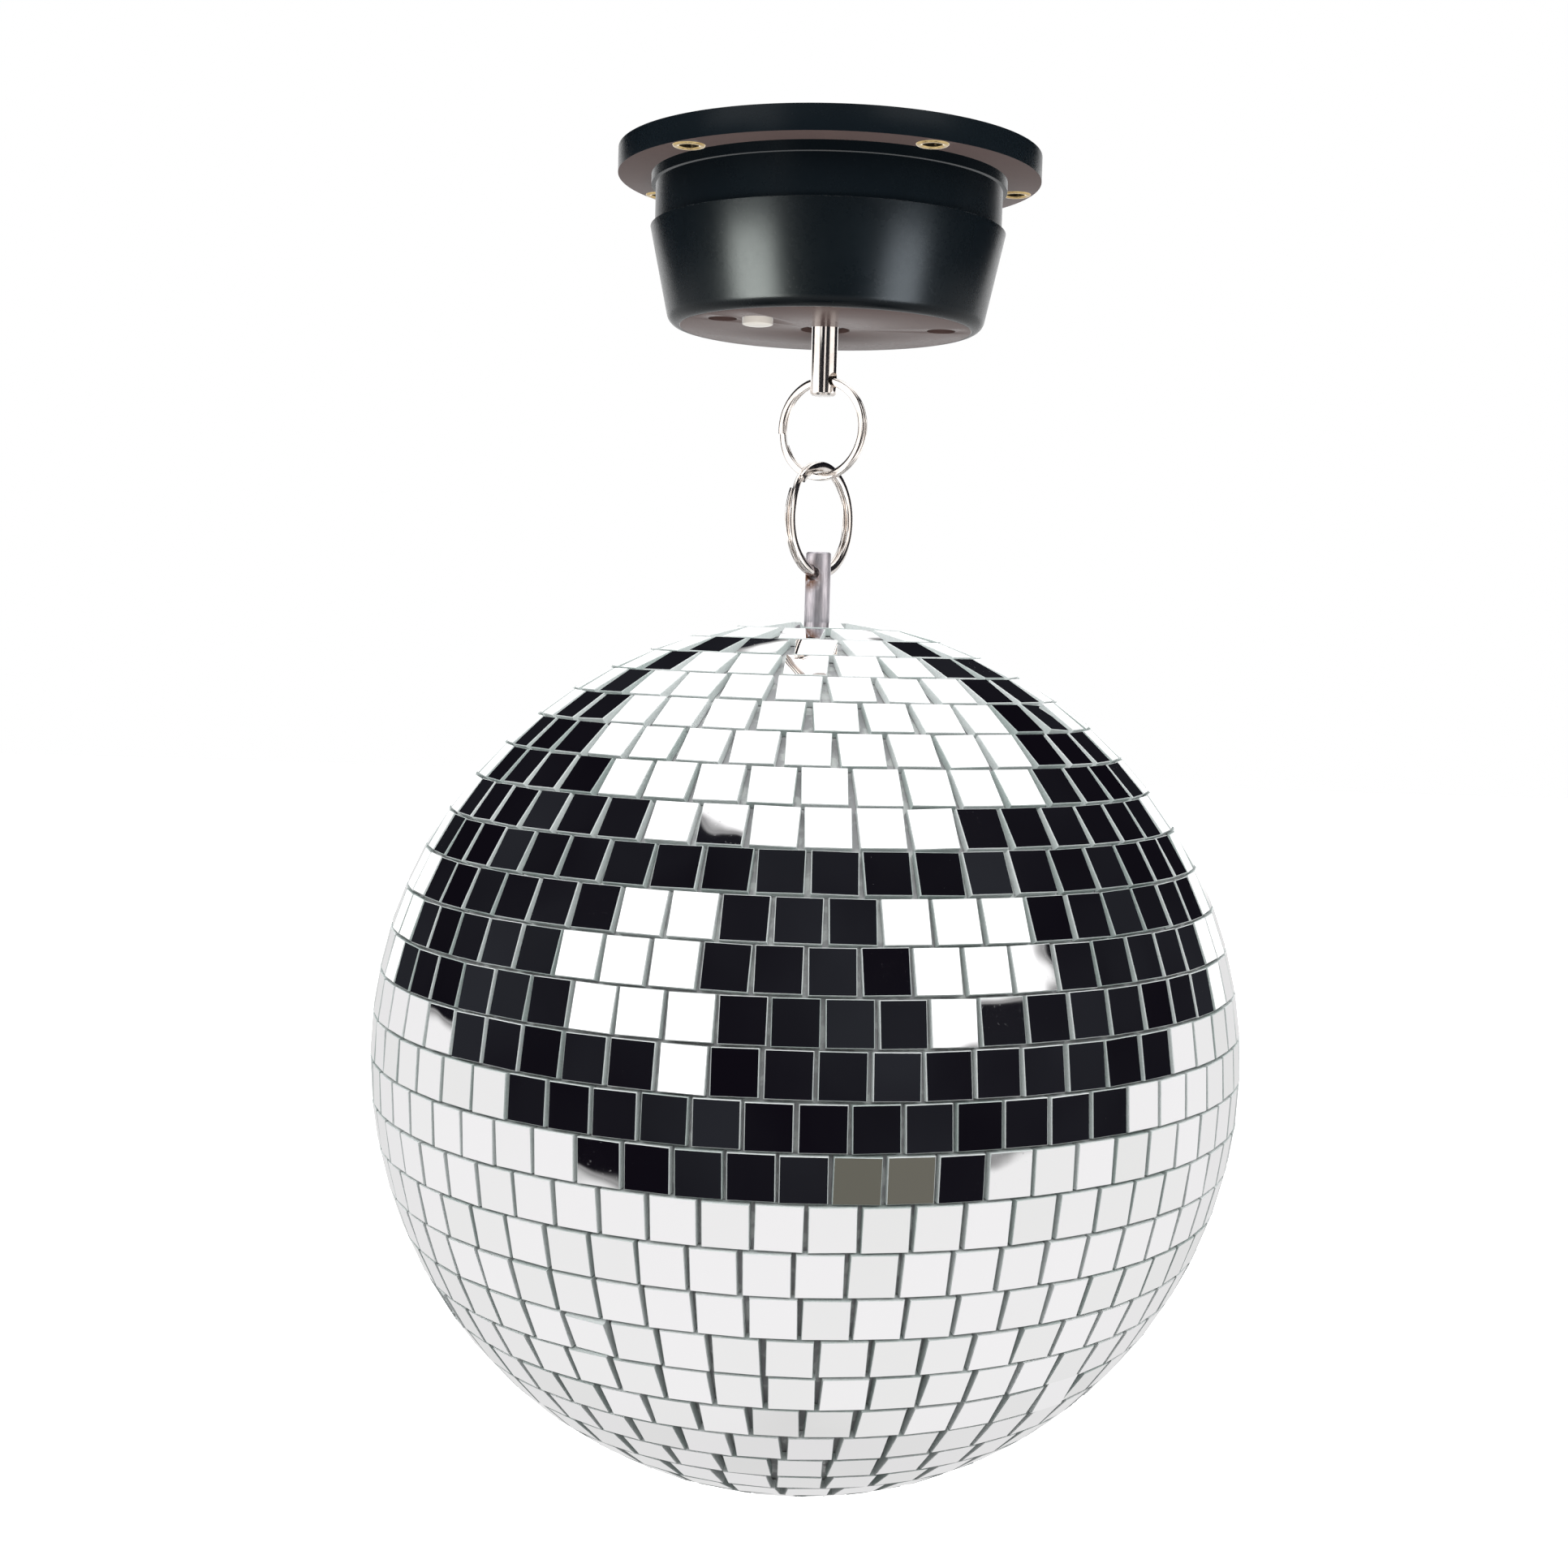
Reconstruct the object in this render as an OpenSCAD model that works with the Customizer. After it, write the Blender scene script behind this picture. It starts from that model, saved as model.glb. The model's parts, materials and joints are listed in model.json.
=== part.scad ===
// Mirror ball with its motor. A ball covered in small square mirrors hangs by two linked
// rings from the shaft of a slow geared motor, and the motor's flange fastens to a ceiling.
// Millimetres. The origin is the centre of the face that meets the ceiling, and +Z points up.

/* [Ball] */
// Diameter of the ball over the corners of its mirrors
ball_d = 200; // [198:0.5:202]
// Rows of mirrors from one pole to the other
row_count = 32; // [30:2:32]
// Side of one square mirror
tile_w = 9.2; // [8.8:0.1:9.3]
// Thickness of one mirror
tile_t = 1.8; // [1.4:0.1:2]
// Wall thickness of the plastic ball under the mirrors
core_wall = 2; // [1.5:0.1:3]
// Rows of mirrors that share one node
rows_per_band = 2; // [2:1:4]

/* [Hanger post] */
// Diameter of the post on top of the ball
post_d = 5.8; // [5.6:0.1:6]
// Height of the ring hole above the mirrors
post_hole_up = 10.7; // [9:0.1:13]
// Metal left above the ring hole's middle
post_above_hole = 4.8; // [4:0.1:6]

/* [Rings] */
// Outside diameter of the ring in the motor's shaft
motor_ring_d = 23.6; // [22:0.2:26]
// Wire diameter of the motor's ring
motor_wire_d = 1.8; // [1.6:0.1:2]
// Outside diameter of the ring in the ball's post
ball_ring_d = 26.6; // [25:0.2:29]
// Wire diameter of the ball's ring
ball_wire_d = 2.2; // [2:0.1:2.4]
// Turn of the motor's ring about the vertical, from left to right
ring_turn = 33; // [20:1:45]
// Diameter of the cross holes that the rings pass through
ring_hole_d = 3.6; // [3.5:0.1:3.8]

/* [Motor housing] */
// Diameter of the ceiling flange
flange_d = 96; // [96:0.5:98]
// Thickness of the ceiling flange
flange_t = 5.5; // [5:0.1:6]
// Diameter of the circle that the fixing holes lie on
fixing_pcd = 88; // [87.5:0.1:88.5]
// Number of fixing holes
fixing_count = 5; // [4:1:6]
// Bore diameter of a fixing eyelet
eyelet_bore_d = 4.4; // [4:0.1:4.6]
// Diameter of the neck between the flange and the cup
neck_d = 78.8; // [78.4:0.1:79.2]
// Height of the neck below the flange
neck_h = 11.5; // [11:0.1:12]
// Diameter of the cup at its rim
cup_top_d = 80.8; // [80.6:0.1:82]
// Diameter of the cup where its lower edge starts to round
cup_low_d = 72.6; // [72.4:0.1:73]
// Height of the cup
cup_h = 21.8; // [21.6:0.1:22]
// Radius of the cup's rounded lower edge
cup_edge_r = 2.9; // [2.4:0.1:3]

/* [Shaft and button] */
// Diameter of the output shaft
shaft_d = 6; // [5.8:0.1:6.2]
// Length of shaft that shows below the bottom plate
shaft_out = 14.9; // [14:0.1:17]
// Height of the ring hole above the shaft's end
shaft_hole_up = 3.4; // [3.2:0.1:4]
// Diameter of the push button
button_d = 6.8; // [6:0.1:6.8]
// How far the button stands out of the bottom plate
button_out = 1.8; // [1.6:0.1:2.4]

/* [Gears] */
// Module of every gear
gear_module = 0.5; // [0.5:0.05:0.5]
// Teeth on each wheel
wheel_teeth = 50; // [50:10:50]
// Teeth on each pinion
pinion_teeth = 10; // [10:1:10]

/* [Hidden] */
eps = 0.05;          // clearance between faces that run on each other
cut = 1;             // how far a cutter runs past the face it cuts
fine = 96;           // facets in the preview of a large round
small = 40;          // facets in the preview of a small round

// Colours
black = [0.07, 0.075, 0.085];
gloss = [0.16, 0.15, 0.15];
chrome = [0.80, 0.79, 0.77];
zinc = [0.62, 0.63, 0.63];
brass = [0.80, 0.66, 0.38];
cream = [0.90, 0.88, 0.80];
nylon = [0.88, 0.87, 0.80];
mirror_silver = [0.74, 0.78, 0.80];
plastic = [0.80, 0.80, 0.78];
steel = [0.60, 0.61, 0.62];
copper = [0.72, 0.42, 0.26];

// A point at radius r, with its angle counted from +X towards -Y
function at(angle, r) = [r * cos(angle), -r * sin(angle), 0];

// Heights of the motor housing, from the ceiling down
flange_z = -flange_t;
lip_z = flange_z - 2.2;
neck_z = flange_z - neck_h;
cup_z = neck_z - cup_h;
skirt_z = neck_z - 3;
plate_t = 2.2;
plate_in_z = cup_z + plate_t;
frame_z = plate_in_z + 10.1;
frame_t = 1.5;
frame_top_z = frame_z + frame_t;

// Radii of the motor housing
flange_r = flange_d / 2;
lip_r = neck_d / 2 + 1;
neck_r = neck_d / 2;
wall = 2;
neck_bore_r = neck_r - 2.5;
skirt_r = neck_r - 3;
skirt_bore_r = neck_r - 4.2;
plate_r = cup_low_d / 2 - cup_edge_r - 0.1;
ledge_r = plate_r - 2.7;
ledge_t = 1.8;
edge_break = 0.6;

// Fixing eyelets
fixing_first = 61;
eyelet_r = eyelet_bore_d / 2 + 0.6;
eyelet_lip_r = eyelet_bore_d / 2 + 1.3;
eyelet_lip_t = 0.5;

// Shaft line
shaft_r = shaft_d / 2;
shaft_z = cup_z - shaft_out;
shaft_hole_z = shaft_z + shaft_hole_up;
journal_r = 2;
pivot_r = 1.2;
bush_r = 5.75;
bush_flange_r = 7.4;
bush_flange_t = 0.6;
bush_sink = 1;
washer_t = 0.4;
washer_z = plate_in_z + bush_flange_t + eps;

// Gear train: the rotor drives gear 1, gear 1 drives gear 2, gear 2 drives the output gear
wheel_pitch_r = gear_module * wheel_teeth / 2;
pinion_pitch_r = gear_module * pinion_teeth / 2;
gear_distance = wheel_pitch_r + pinion_pitch_r;
idler_x = gear_distance / 2;
idler_y = gear_distance * sqrt(3) / 2;
gear_1_at = [-idler_x, idler_y, 0];
gear_2_at = [idler_x, idler_y, 0];
rotor_at = [-gear_distance, 0, 0];
gear_w = 2;
gear_gap = 1;
level_1_z = washer_z + washer_t + eps;
level_2_z = level_1_z + gear_w + gear_gap;
level_3_z = level_2_z + gear_w + gear_gap;
hub_r = 1.6;
axle_r = 1;
axle_clear = 0.06;
axle_boss_r = 2.4;
axle_boss_h = 0.7;

// Gear frame, its pillars and the screws in the bottom plate
screw_at = [at(5.4, 26.5), at(149.7, 26.5)];
screw_boss_r = 3.4;
screw_boss_h = 2;
screw_head_r = 2.3;
screw_head_h = 1.5;
screw_sink_r = 2.55;
screw_sink = 2.6;
screw_r = 1.2;
screw_l = 9.5;
pillar_r = 2;
pillar_at = [[23.5, 15.5, 0], [-23.5, 15.5, 0]];
gear_frame_r = 30;

// Motor, rotor and battery tray
can_r = 9.5;
can_h = 14;
can_wall = 0.8;
rotor_r = 5;
rotor_h = 8;
rotor_shaft_r = 0.75;
cell_r = 7.25;
cell_l = 49.5;
cell_nub_r = 2.75;
cell_nub_l = 1;
cell_y = 17.25;
cell_z = -13.1;
cell_x0 = -23.75;
spring_l = 2.5;
tray_t = 1.2;
tray_top_z = cell_z - cell_r;
contact_t = 0.4;
contact_w = 8;
stop_t = 1;

// Button, its spring and its switch
button_at = at(134.5, 21.4);
button_r = button_d / 2;
button_collar_r = 4.1;
button_collar_t = 1;
button_stem_r = 1.2;
button_travel = 1.5;
switch_w = 8;
switch_h = 4.5;
switch_z = frame_z - switch_h;
spring_wire_r = 0.25;
spring_coil_r = 2;
spring_turns = 5;

// Rings: each hangs from a cross hole, and the ball's ring passes through the motor's ring
motor_wire_r = motor_wire_d / 2;
ball_wire_r = ball_wire_d / 2;
motor_ring_r = (motor_ring_d - motor_wire_d) / 2;
ball_ring_r = (ball_ring_d - ball_wire_d) / 2;
ring_gap = 0.3;
motor_ring_z = shaft_hole_z - motor_ring_r;
link_z = motor_ring_z - motor_ring_r + motor_wire_r + ball_wire_r + ring_gap;
ball_ring_z = link_z - ball_ring_r;
post_hole_z = ball_ring_z - ball_ring_r;

// Ball
ball_r = ball_d / 2;
ball_z = post_hole_z - post_hole_up - ball_r;
tile_face_r = sqrt(ball_r * ball_r - tile_w * tile_w / 2);
tile_back_r = tile_face_r - tile_t;
glue_t = 0.15;
core_r = tile_back_r - glue_t;
core_bore_r = core_r - core_wall;
row_angle = 180 / row_count;
tile_pitch = PI * tile_face_r / row_count;
row_turn = 137.5;
pole_pull = 0.36;    // how far the first ring of mirrors is drawn in towards its pole, in degrees

// Hanger post and what holds it inside the ball
post_r = post_d / 2;
stud_r = 2;
collar_r = 5;
collar_t = 0.9;
collar_z = ball_z + core_r;
post_top_z = post_hole_z + post_above_hole;
inner_plate_r = 10;
inner_plate_t = 1.5;
inner_plate_z = ball_z + sqrt(pow(core_bore_r, 2) - pow(inner_plate_r, 2)) - eps - inner_plate_t;
nut_af = 7;
nut_h = 3.2;
seam_h = 8;
seam_t = 1.5;

band_count = ceil((row_count - 1) / rows_per_band);
band_names = [for (band = [1:band_count]) str("mirror_band_", band < 10 ? "0" : "", band)];

// A round bar from height z up, h tall
module bar(r, z, h, facets = small) {
    translate([0, 0, z]) cylinder(r = r, h = h, $fn = facets);
}

// A tube from height z up, h tall
module tube(r, bore_r, z, h) {
    difference() {
        bar(r, z, h);
        bar(bore_r, z - cut, h + 2 * cut);
    }
}

// A wire of circular section swept along points, closed at both ends
module swept_wire(points, r, sides = 8) {
    count = len(points);
    last = count - 1;
    rings = [
        for (i = [0:last])
            let (
                run = points[min(i + 1, last)] - points[max(i - 1, 0)],
                along = run / norm(run),
                aside = cross(along, abs(along[2]) > 0.9 ? [1, 0, 0] : [0, 0, 1]),
                across = aside / norm(aside),
                up = cross(across, along)
            )
            for (k = [0:sides - 1])
                points[i] + r * (cos(360 * k / sides) * across + sin(360 * k / sides) * up)
    ];
    sleeve = [
        for (i = [0:last - 1]) for (k = [0:sides - 1])
            let (next = (k + 1) % sides)
            [i * sides + k, i * sides + next, (i + 1) * sides + next, (i + 1) * sides + k]
    ];
    start_cap = [[for (k = [sides - 1:-1:0]) k]];
    end_cap = [[for (k = [0:sides - 1]) last * sides + k]];
    polyhedron(points = rings, faces = concat(sleeve, start_cap, end_cap));
}

// Points of a helix about +Z
function helix(r, h, turns, steps = 12) = [
    for (i = [0:turns * steps])
        [r * cos(360 * i / steps), r * sin(360 * i / steps), h * i / (turns * steps)]
];

// A spur gear with one tooth pointing at tooth_angle
module spur_gear(teeth, tooth_angle, z) {
    pitch_r = gear_module * teeth / 2;
    root_r = pitch_r - 1.25 * gear_module;
    tip_r = pitch_r + 0.9 * gear_module;
    root_half = asin(0.42 * gear_module * PI / 2 / root_r);
    tip_half = asin(0.14 * gear_module * PI / 2 / tip_r);
    outline = [
        for (i = [0:teeth - 1])
            let (middle = tooth_angle + 360 * i / teeth)
            for (corner = [
                [root_r, middle - root_half], [tip_r, middle - tip_half],
                [tip_r, middle + tip_half], [root_r, middle + root_half]
            ]) corner[0] * [cos(corner[1]), sin(corner[1])]
    ];
    translate([0, 0, z]) linear_extrude(height = gear_w) polygon(outline);
}

// Direction from one point to another, counted from +X towards +Y
function bearing(from, to) = atan2(to[1] - from[1], to[0] - from[0]);

// Ceiling flange with the lip, the neck and the skirt that the cup sits on
module ceiling_flange() {
    color(black) difference() {
        rotate_extrude($fn = fine) polygon([
            [0, 0], [flange_r - edge_break, 0], [flange_r, -edge_break],
            [flange_r, flange_z + edge_break], [flange_r - edge_break, flange_z],
            [lip_r, flange_z], [lip_r, lip_z + edge_break], [lip_r - edge_break, lip_z],
            [neck_r, lip_z], [neck_r, neck_z], [skirt_r, neck_z], [skirt_r, skirt_z],
            [skirt_bore_r, skirt_z], [skirt_bore_r, neck_z + wall],
            [neck_bore_r, neck_z + wall], [neck_bore_r, flange_z], [0, flange_z]
        ]);
        for (i = [0:fixing_count - 1])
            translate(at(fixing_first + 360 * i / fixing_count, fixing_pcd / 2))
                bar(eyelet_r, flange_z - cut, flange_t + 2 * cut);
    }
}

// Brass eyelets that line the fixing holes
module fixing_eyelets() {
    color(brass) for (i = [0:fixing_count - 1])
        translate(at(fixing_first + 360 * i / fixing_count, fixing_pcd / 2))
            difference() {
                union() {
                    bar(eyelet_r, flange_z, flange_t);
                    bar(eyelet_lip_r, flange_z - eyelet_lip_t, eyelet_lip_t);
                }
                bar(eyelet_bore_d / 2, flange_z - cut, flange_t + 2 * cut);
            }
}

// Tapered cup that covers the works, with a ledge for the bottom plate
module cup_housing() {
    top_r = cup_top_d / 2;
    low_r = cup_low_d / 2;
    color(black) rotate_extrude($fn = fine) polygon(concat(
        [[top_r - wall, neck_z], [top_r, neck_z], [low_r, cup_z + cup_edge_r]],
        [for (a = [15:15:90]) [
            low_r - cup_edge_r * (1 - cos(a)), cup_z + cup_edge_r * (1 - sin(a))
        ]],
        [
            [plate_r + eps, cup_z], [plate_r + eps, plate_in_z], [ledge_r, plate_in_z],
            [ledge_r, plate_in_z + ledge_t], [low_r - wall, plate_in_z + ledge_t]
        ]
    ));
}

// Glossy plate that closes the cup, with bosses for the screws and the idler axles
module bottom_plate() {
    color(gloss) difference() {
        union() {
            bar(plate_r, cup_z, plate_t, fine);
            for (p = screw_at) translate(p) bar(screw_boss_r, plate_in_z - cut, screw_boss_h + cut);
            for (p = [gear_1_at, gear_2_at])
                translate(p) bar(axle_boss_r, plate_in_z - cut, axle_boss_h + cut);
        }
        bar(bush_r, cup_z - cut, plate_t + 2 * cut);
        for (p = screw_at) translate(p) {
            bar(screw_sink_r, cup_z - cut, screw_sink + cut);
            bar(screw_r + eps, cup_z, plate_t + screw_boss_h + cut);
        }
        for (p = [gear_1_at, gear_2_at]) translate(p) bar(axle_r, plate_in_z, axle_boss_h + cut);
        translate(button_at) bar(button_r + 0.2, cup_z - cut, plate_t + 2 * cut);
    }
}

// Cross-recessed screws that clamp the plate, the cup and the gear frame together
module plate_screws() {
    head_z = cup_z + screw_sink - screw_head_h;
    slot_w = 0.6;
    slot_l = 2.8;
    slot_depth = 0.8;
    color(steel) for (p = screw_at) translate(p) difference() {
        union() {
            bar(screw_head_r, head_z, screw_head_h);
            bar(screw_r, head_z + screw_head_h, screw_l);
        }
        for (turn = [30, 120])
            rotate([0, 0, turn])
                translate([-slot_l / 2, -slot_w / 2, head_z - cut])
                    cube([slot_l, slot_w, slot_depth + cut]);
    }
}

// Output shaft with the cross hole for the motor's ring
module output_shaft() {
    end_break = 0.5;
    color(chrome) difference() {
        union() {
            translate([0, 0, shaft_z])
                cylinder(r1 = shaft_r - end_break, r2 = shaft_r, h = end_break, $fn = small);
            bar(shaft_r, shaft_z + end_break, level_1_z - shaft_z - end_break);
            bar(journal_r, level_1_z, gear_w + eps);
            bar(pivot_r, level_1_z + gear_w, frame_top_z - level_1_z - gear_w);
        }
        translate([0, 0, shaft_hole_z]) rotate([0, 0, -ring_turn]) rotate([0, 90, 0])
            cylinder(d = ring_hole_d, h = shaft_d + 2 * cut, center = true, $fn = small);
    }
}

// Output gear, pressed on the shaft
module output_gear() {
    color(nylon) difference() {
        spur_gear(wheel_teeth, bearing([0, 0, 0], gear_2_at), level_1_z);
        bar(journal_r, level_1_z - cut, gear_w + 2 * cut);
    }
}

// Clip that carries the ball's weight from the shaft to the gear
module retaining_clip() {
    color(steel) tube(2.9, pivot_r, level_1_z + gear_w + eps, 0.5);
}

// Washer that the turning gear runs on
module thrust_washer() {
    color(brass) tube(bush_flange_r - 1, shaft_r + 0.1, washer_z, washer_t);
}

// Flanged bush in the bottom plate, set back so that a dark ring shows round the shaft
module shaft_bush() {
    color(black) difference() {
        union() {
            bar(bush_r, cup_z + bush_sink, plate_t - bush_sink);
            bar(bush_flange_r, plate_in_z, bush_flange_t);
        }
        bar(shaft_r + eps, cup_z - cut, plate_t + bush_flange_t + 2 * cut);
    }
}

// Bush at the upper end of the shaft
module upper_bush() {
    color(brass) tube(2.6, pivot_r + eps, frame_z, frame_t);
}

// Plate above the gears that carries the motor, the switch and the tray
module gear_frame() {
    color(nylon) difference() {
        bar(gear_frame_r, frame_z, frame_t, fine);
        bar(2.6, frame_z - cut, frame_t + 2 * cut);
        for (p = [gear_1_at, gear_2_at]) translate(p) bar(axle_r, frame_z - cut, frame_t + 2 * cut);
        translate(rotor_at) bar(pinion_pitch_r + 1, frame_z - cut, frame_t + 2 * cut);
    }
}

// Pillars between the bottom plate and the gear frame; two of them take the screws
module frame_pillars() {
    screw_pillar_z = plate_in_z + screw_boss_h;
    color(nylon) {
        for (p = screw_at) translate(p)
            tube(screw_boss_r - 0.6, screw_r + eps, screw_pillar_z, frame_z - screw_pillar_z);
        for (p = pillar_at) translate(p) bar(pillar_r, plate_in_z, frame_z - plate_in_z);
    }
}

// Pins that the idler gears turn on
module idler_axles() {
    color(steel) for (p = [gear_1_at, gear_2_at])
        translate(p) bar(axle_r, plate_in_z, frame_top_z - plate_in_z);
}

// First idler: the rotor turns its wheel, and its pinion turns gear 2
module idler_gear_1() {
    color(nylon) translate(gear_1_at) difference() {
        union() {
            bar(hub_r, plate_in_z + axle_boss_h + 0.3, frame_z - plate_in_z - axle_boss_h - 0.6);
            spur_gear(pinion_teeth, bearing(gear_1_at, gear_2_at) + 180 / pinion_teeth, level_2_z);
            spur_gear(wheel_teeth, bearing(gear_1_at, rotor_at), level_3_z);
        }
        bar(axle_r + axle_clear, plate_in_z, frame_z - plate_in_z);
    }
}

// Second idler: gear 1 turns its wheel, and its pinion turns the output gear
module idler_gear_2() {
    color(nylon) translate(gear_2_at) difference() {
        union() {
            bar(hub_r, plate_in_z + axle_boss_h + 0.3, frame_z - plate_in_z - axle_boss_h - 0.6);
            spur_gear(pinion_teeth, bearing(gear_2_at, [0, 0, 0]) + 180 / pinion_teeth, level_1_z);
            spur_gear(wheel_teeth, bearing(gear_2_at, gear_1_at), level_2_z);
        }
        bar(axle_r + axle_clear, plate_in_z, frame_z - plate_in_z);
    }
}

// Steel can of the motor
module motor_can() {
    color(steel) translate(rotor_at) difference() {
        bar(can_r, frame_top_z, can_h);
        bar(can_r - can_wall, frame_top_z + can_wall, can_h - 2 * can_wall);
        bar(rotor_shaft_r + eps, frame_top_z - cut, 2 * cut);
    }
}

// Rotor core and its shaft inside the can
module motor_rotor() {
    core_z = frame_top_z + (can_h - rotor_h) / 2;
    color(copper) translate(rotor_at) {
        bar(rotor_r, core_z, rotor_h);
        bar(rotor_shaft_r, level_3_z + gear_w, core_z - level_3_z - gear_w);
    }
}

// Pinion on the rotor's shaft
module rotor_pinion() {
    color(brass) translate(rotor_at)
        spur_gear(pinion_teeth, bearing(rotor_at, gear_1_at) + 180 / pinion_teeth, level_3_z);
}

// Tray that holds the cells beside the motor
module battery_tray() {
    tray_r = skirt_bore_r - 0.3;
    color(black) difference() {
        union() {
            bar(tray_r, tray_top_z - tray_t, tray_t, fine);
            for (side = [-1, 1]) for (x = [cell_x0 - spring_l - contact_t - stop_t,
                                            cell_x0 + cell_l + cell_nub_l + contact_t])
                translate([side > 0 ? x : -x - stop_t, side * cell_y - 3, tray_top_z])
                    cube([stop_t, 6, 2 * cell_r - 3]);
            for (x = [-23.5, 23.5]) for (y = [-15.5, 15.5])
                translate([x, y, 0]) bar(pillar_r, frame_top_z, tray_top_z - tray_t - frame_top_z);
        }
        translate(rotor_at) bar(can_r + 0.3, tray_top_z - tray_t - cut, tray_t + 2 * cut);
    }
}

// Two AA cells, lying in opposite directions
module battery_cells() {
    color(copper) for (side = [0, 180]) rotate([0, 0, side])
        translate([cell_x0, cell_y, cell_z]) rotate([0, 90, 0]) {
            cylinder(r = cell_r, h = cell_l, $fn = small);
            translate([0, 0, cell_l]) cylinder(r = cell_nub_r, h = cell_nub_l, $fn = small);
        }
}

// Coil springs behind the flat ends of the cells
module contact_springs() {
    color(steel) for (side = [0, 180]) rotate([0, 0, side])
        translate([cell_x0 - spring_l + 0.4, cell_y, cell_z]) rotate([0, 90, 0])
            swept_wire(helix(3, spring_l - 0.8, 2), 0.3, 6);
}

// Contact blades at both ends of each cell
module contact_plates() {
    color(steel) for (side = [0, 180]) rotate([0, 0, side])
        for (x = [cell_x0 - spring_l - contact_t, cell_x0 + cell_l + cell_nub_l])
            translate([x, cell_y - contact_w / 2, cell_z - contact_w / 2])
                cube([contact_t, contact_w, contact_w + 1]);
}

// Thin wires from the contacts to the switch and the motor
module inner_leads() {
    lead_r = 0.5;
    blade_x = -cell_x0 + spring_l + contact_t;
    motor_terminal = rotor_at + [4, -3, frame_top_z + can_h + lead_r];
    color("firebrick") swept_wire([
        [blade_x - 2, -cell_y + 8.6, cell_z + 2], [blade_x - 4, -7, cell_z + 4],
        [10, -5, cell_z + 4.5], [0, -4, cell_z + 3.5], motor_terminal
    ], lead_r, 6);
    color("black") swept_wire([
        rotor_at + [4, 3, frame_top_z + can_h + lead_r], [0, 4, cell_z + 3.5],
        [12, 5, cell_z + 4.5], [blade_x - 4, 7, cell_z + 4], [blade_x - 2, cell_y - 8.6, cell_z + 2]
    ], lead_r, 6);
}

// Push button with its collar and stem
module power_button() {
    collar_z = plate_in_z + eps;
    color(cream) translate(button_at) {
        bar(button_r, cup_z - button_out, plate_t + button_out + eps);
        bar(button_collar_r, collar_z, button_collar_t);
        bar(button_stem_r, collar_z + button_collar_t, switch_z + 1 - collar_z - button_collar_t);
    }
}

// Return spring between the button's collar and the switch
module button_spring() {
    low_z = plate_in_z + eps + button_collar_t + spring_wire_r;
    color(steel) translate([button_at[0], button_at[1], low_z])
        swept_wire(helix(spring_coil_r, switch_z - low_z - spring_wire_r, spring_turns), spring_wire_r, 6);
}

// Latching switch under the gear frame
module switch_body() {
    stem_room = button_travel + 1.5;
    color(black) translate(button_at) difference() {
        translate([-switch_w / 2, -switch_w / 2, switch_z]) cube([switch_w, switch_w, switch_h]);
        bar(button_stem_r + 0.2, switch_z - cut, stem_room + cut);
    }
}

// A closed ring of round wire that stands upright and hangs from height top_z
module upright_ring(ring_r, wire_r, top_z, turn) {
    translate([0, 0, top_z - ring_r]) rotate([0, 0, turn]) rotate([90, 0, 0])
        rotate_extrude($fn = fine) translate([ring_r, 0]) circle(r = wire_r, $fn = small);
}

// Ring through the motor's shaft
module motor_ring() {
    color(chrome) upright_ring(motor_ring_r, motor_wire_r, shaft_hole_z, -ring_turn);
}

// Ring through the ball's post, linked with the motor's ring
module ball_ring() {
    color(chrome) upright_ring(ball_ring_r, ball_wire_r, link_z, 90 - ring_turn);
}

// Post on the ball, with its cross hole and the stud that goes through the ball's wall
module hanger_post() {
    stud_z = inner_plate_z - nut_h - 1.5;
    top_break = 0.5;
    color(zinc) difference() {
        union() {
            bar(stud_r, stud_z, post_top_z - top_break / 2 - stud_z);
            bar(post_r, collar_z + collar_t, post_top_z - top_break - collar_z - collar_t);
            translate([0, 0, post_top_z - top_break])
                cylinder(r1 = post_r, r2 = post_r - top_break, h = top_break, $fn = small);
        }
        translate([0, 0, post_hole_z]) rotate([0, 0, 90 - ring_turn]) rotate([0, 90, 0])
            cylinder(d = ring_hole_d, h = post_d + 2 * cut, center = true, $fn = small);
    }
}

// Washer between the post and the ball
module post_collar() {
    color(zinc) tube(collar_r, stud_r + eps, collar_z, collar_t);
}

// Plate that spreads the load inside the ball
module inner_plate() {
    color(steel) tube(inner_plate_r, stud_r + eps, inner_plate_z, inner_plate_t);
}

// Hexagon nut on the stud
module post_nut() {
    color(steel) difference() {
        translate([0, 0, inner_plate_z - nut_h])
            cylinder(r = nut_af / sqrt(3), h = nut_h, $fn = 6);
        bar(stud_r, inner_plate_z - nut_h - cut, nut_h + 2 * cut);
    }
}

// One half of the hollow plastic ball; side is 1 for the upper half and -1 for the lower
module core_half(side) {
    translate([0, 0, ball_z]) difference() {
        sphere(r = core_r, $fn = fine);
        sphere(r = core_bore_r, $fn = fine);
        translate([0, 0, -side * ball_r]) cube([2 * ball_d, 2 * ball_d, ball_d], center = true);
    }
}

// Upper half of the ball, with the hole for the stud
module ball_core_upper() {
    color(plastic) difference() {
        core_half(1);
        bar(stud_r + eps, ball_z + core_bore_r - 2 * cut, core_wall + 4 * cut);
    }
}

// Lower half of the ball
module ball_core_lower() {
    color(plastic) core_half(-1);
}

// Band that joins the two halves from inside
module seam_ring() {
    seam_r = sqrt(pow(core_bore_r, 2) - pow(seam_h / 2, 2)) - eps;
    color(plastic) difference() {
        bar(seam_r, ball_z - seam_h / 2, seam_h, fine);
        bar(seam_r - seam_t, ball_z - seam_h / 2 - cut, seam_h + 2 * cut, fine);
    }
}

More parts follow.
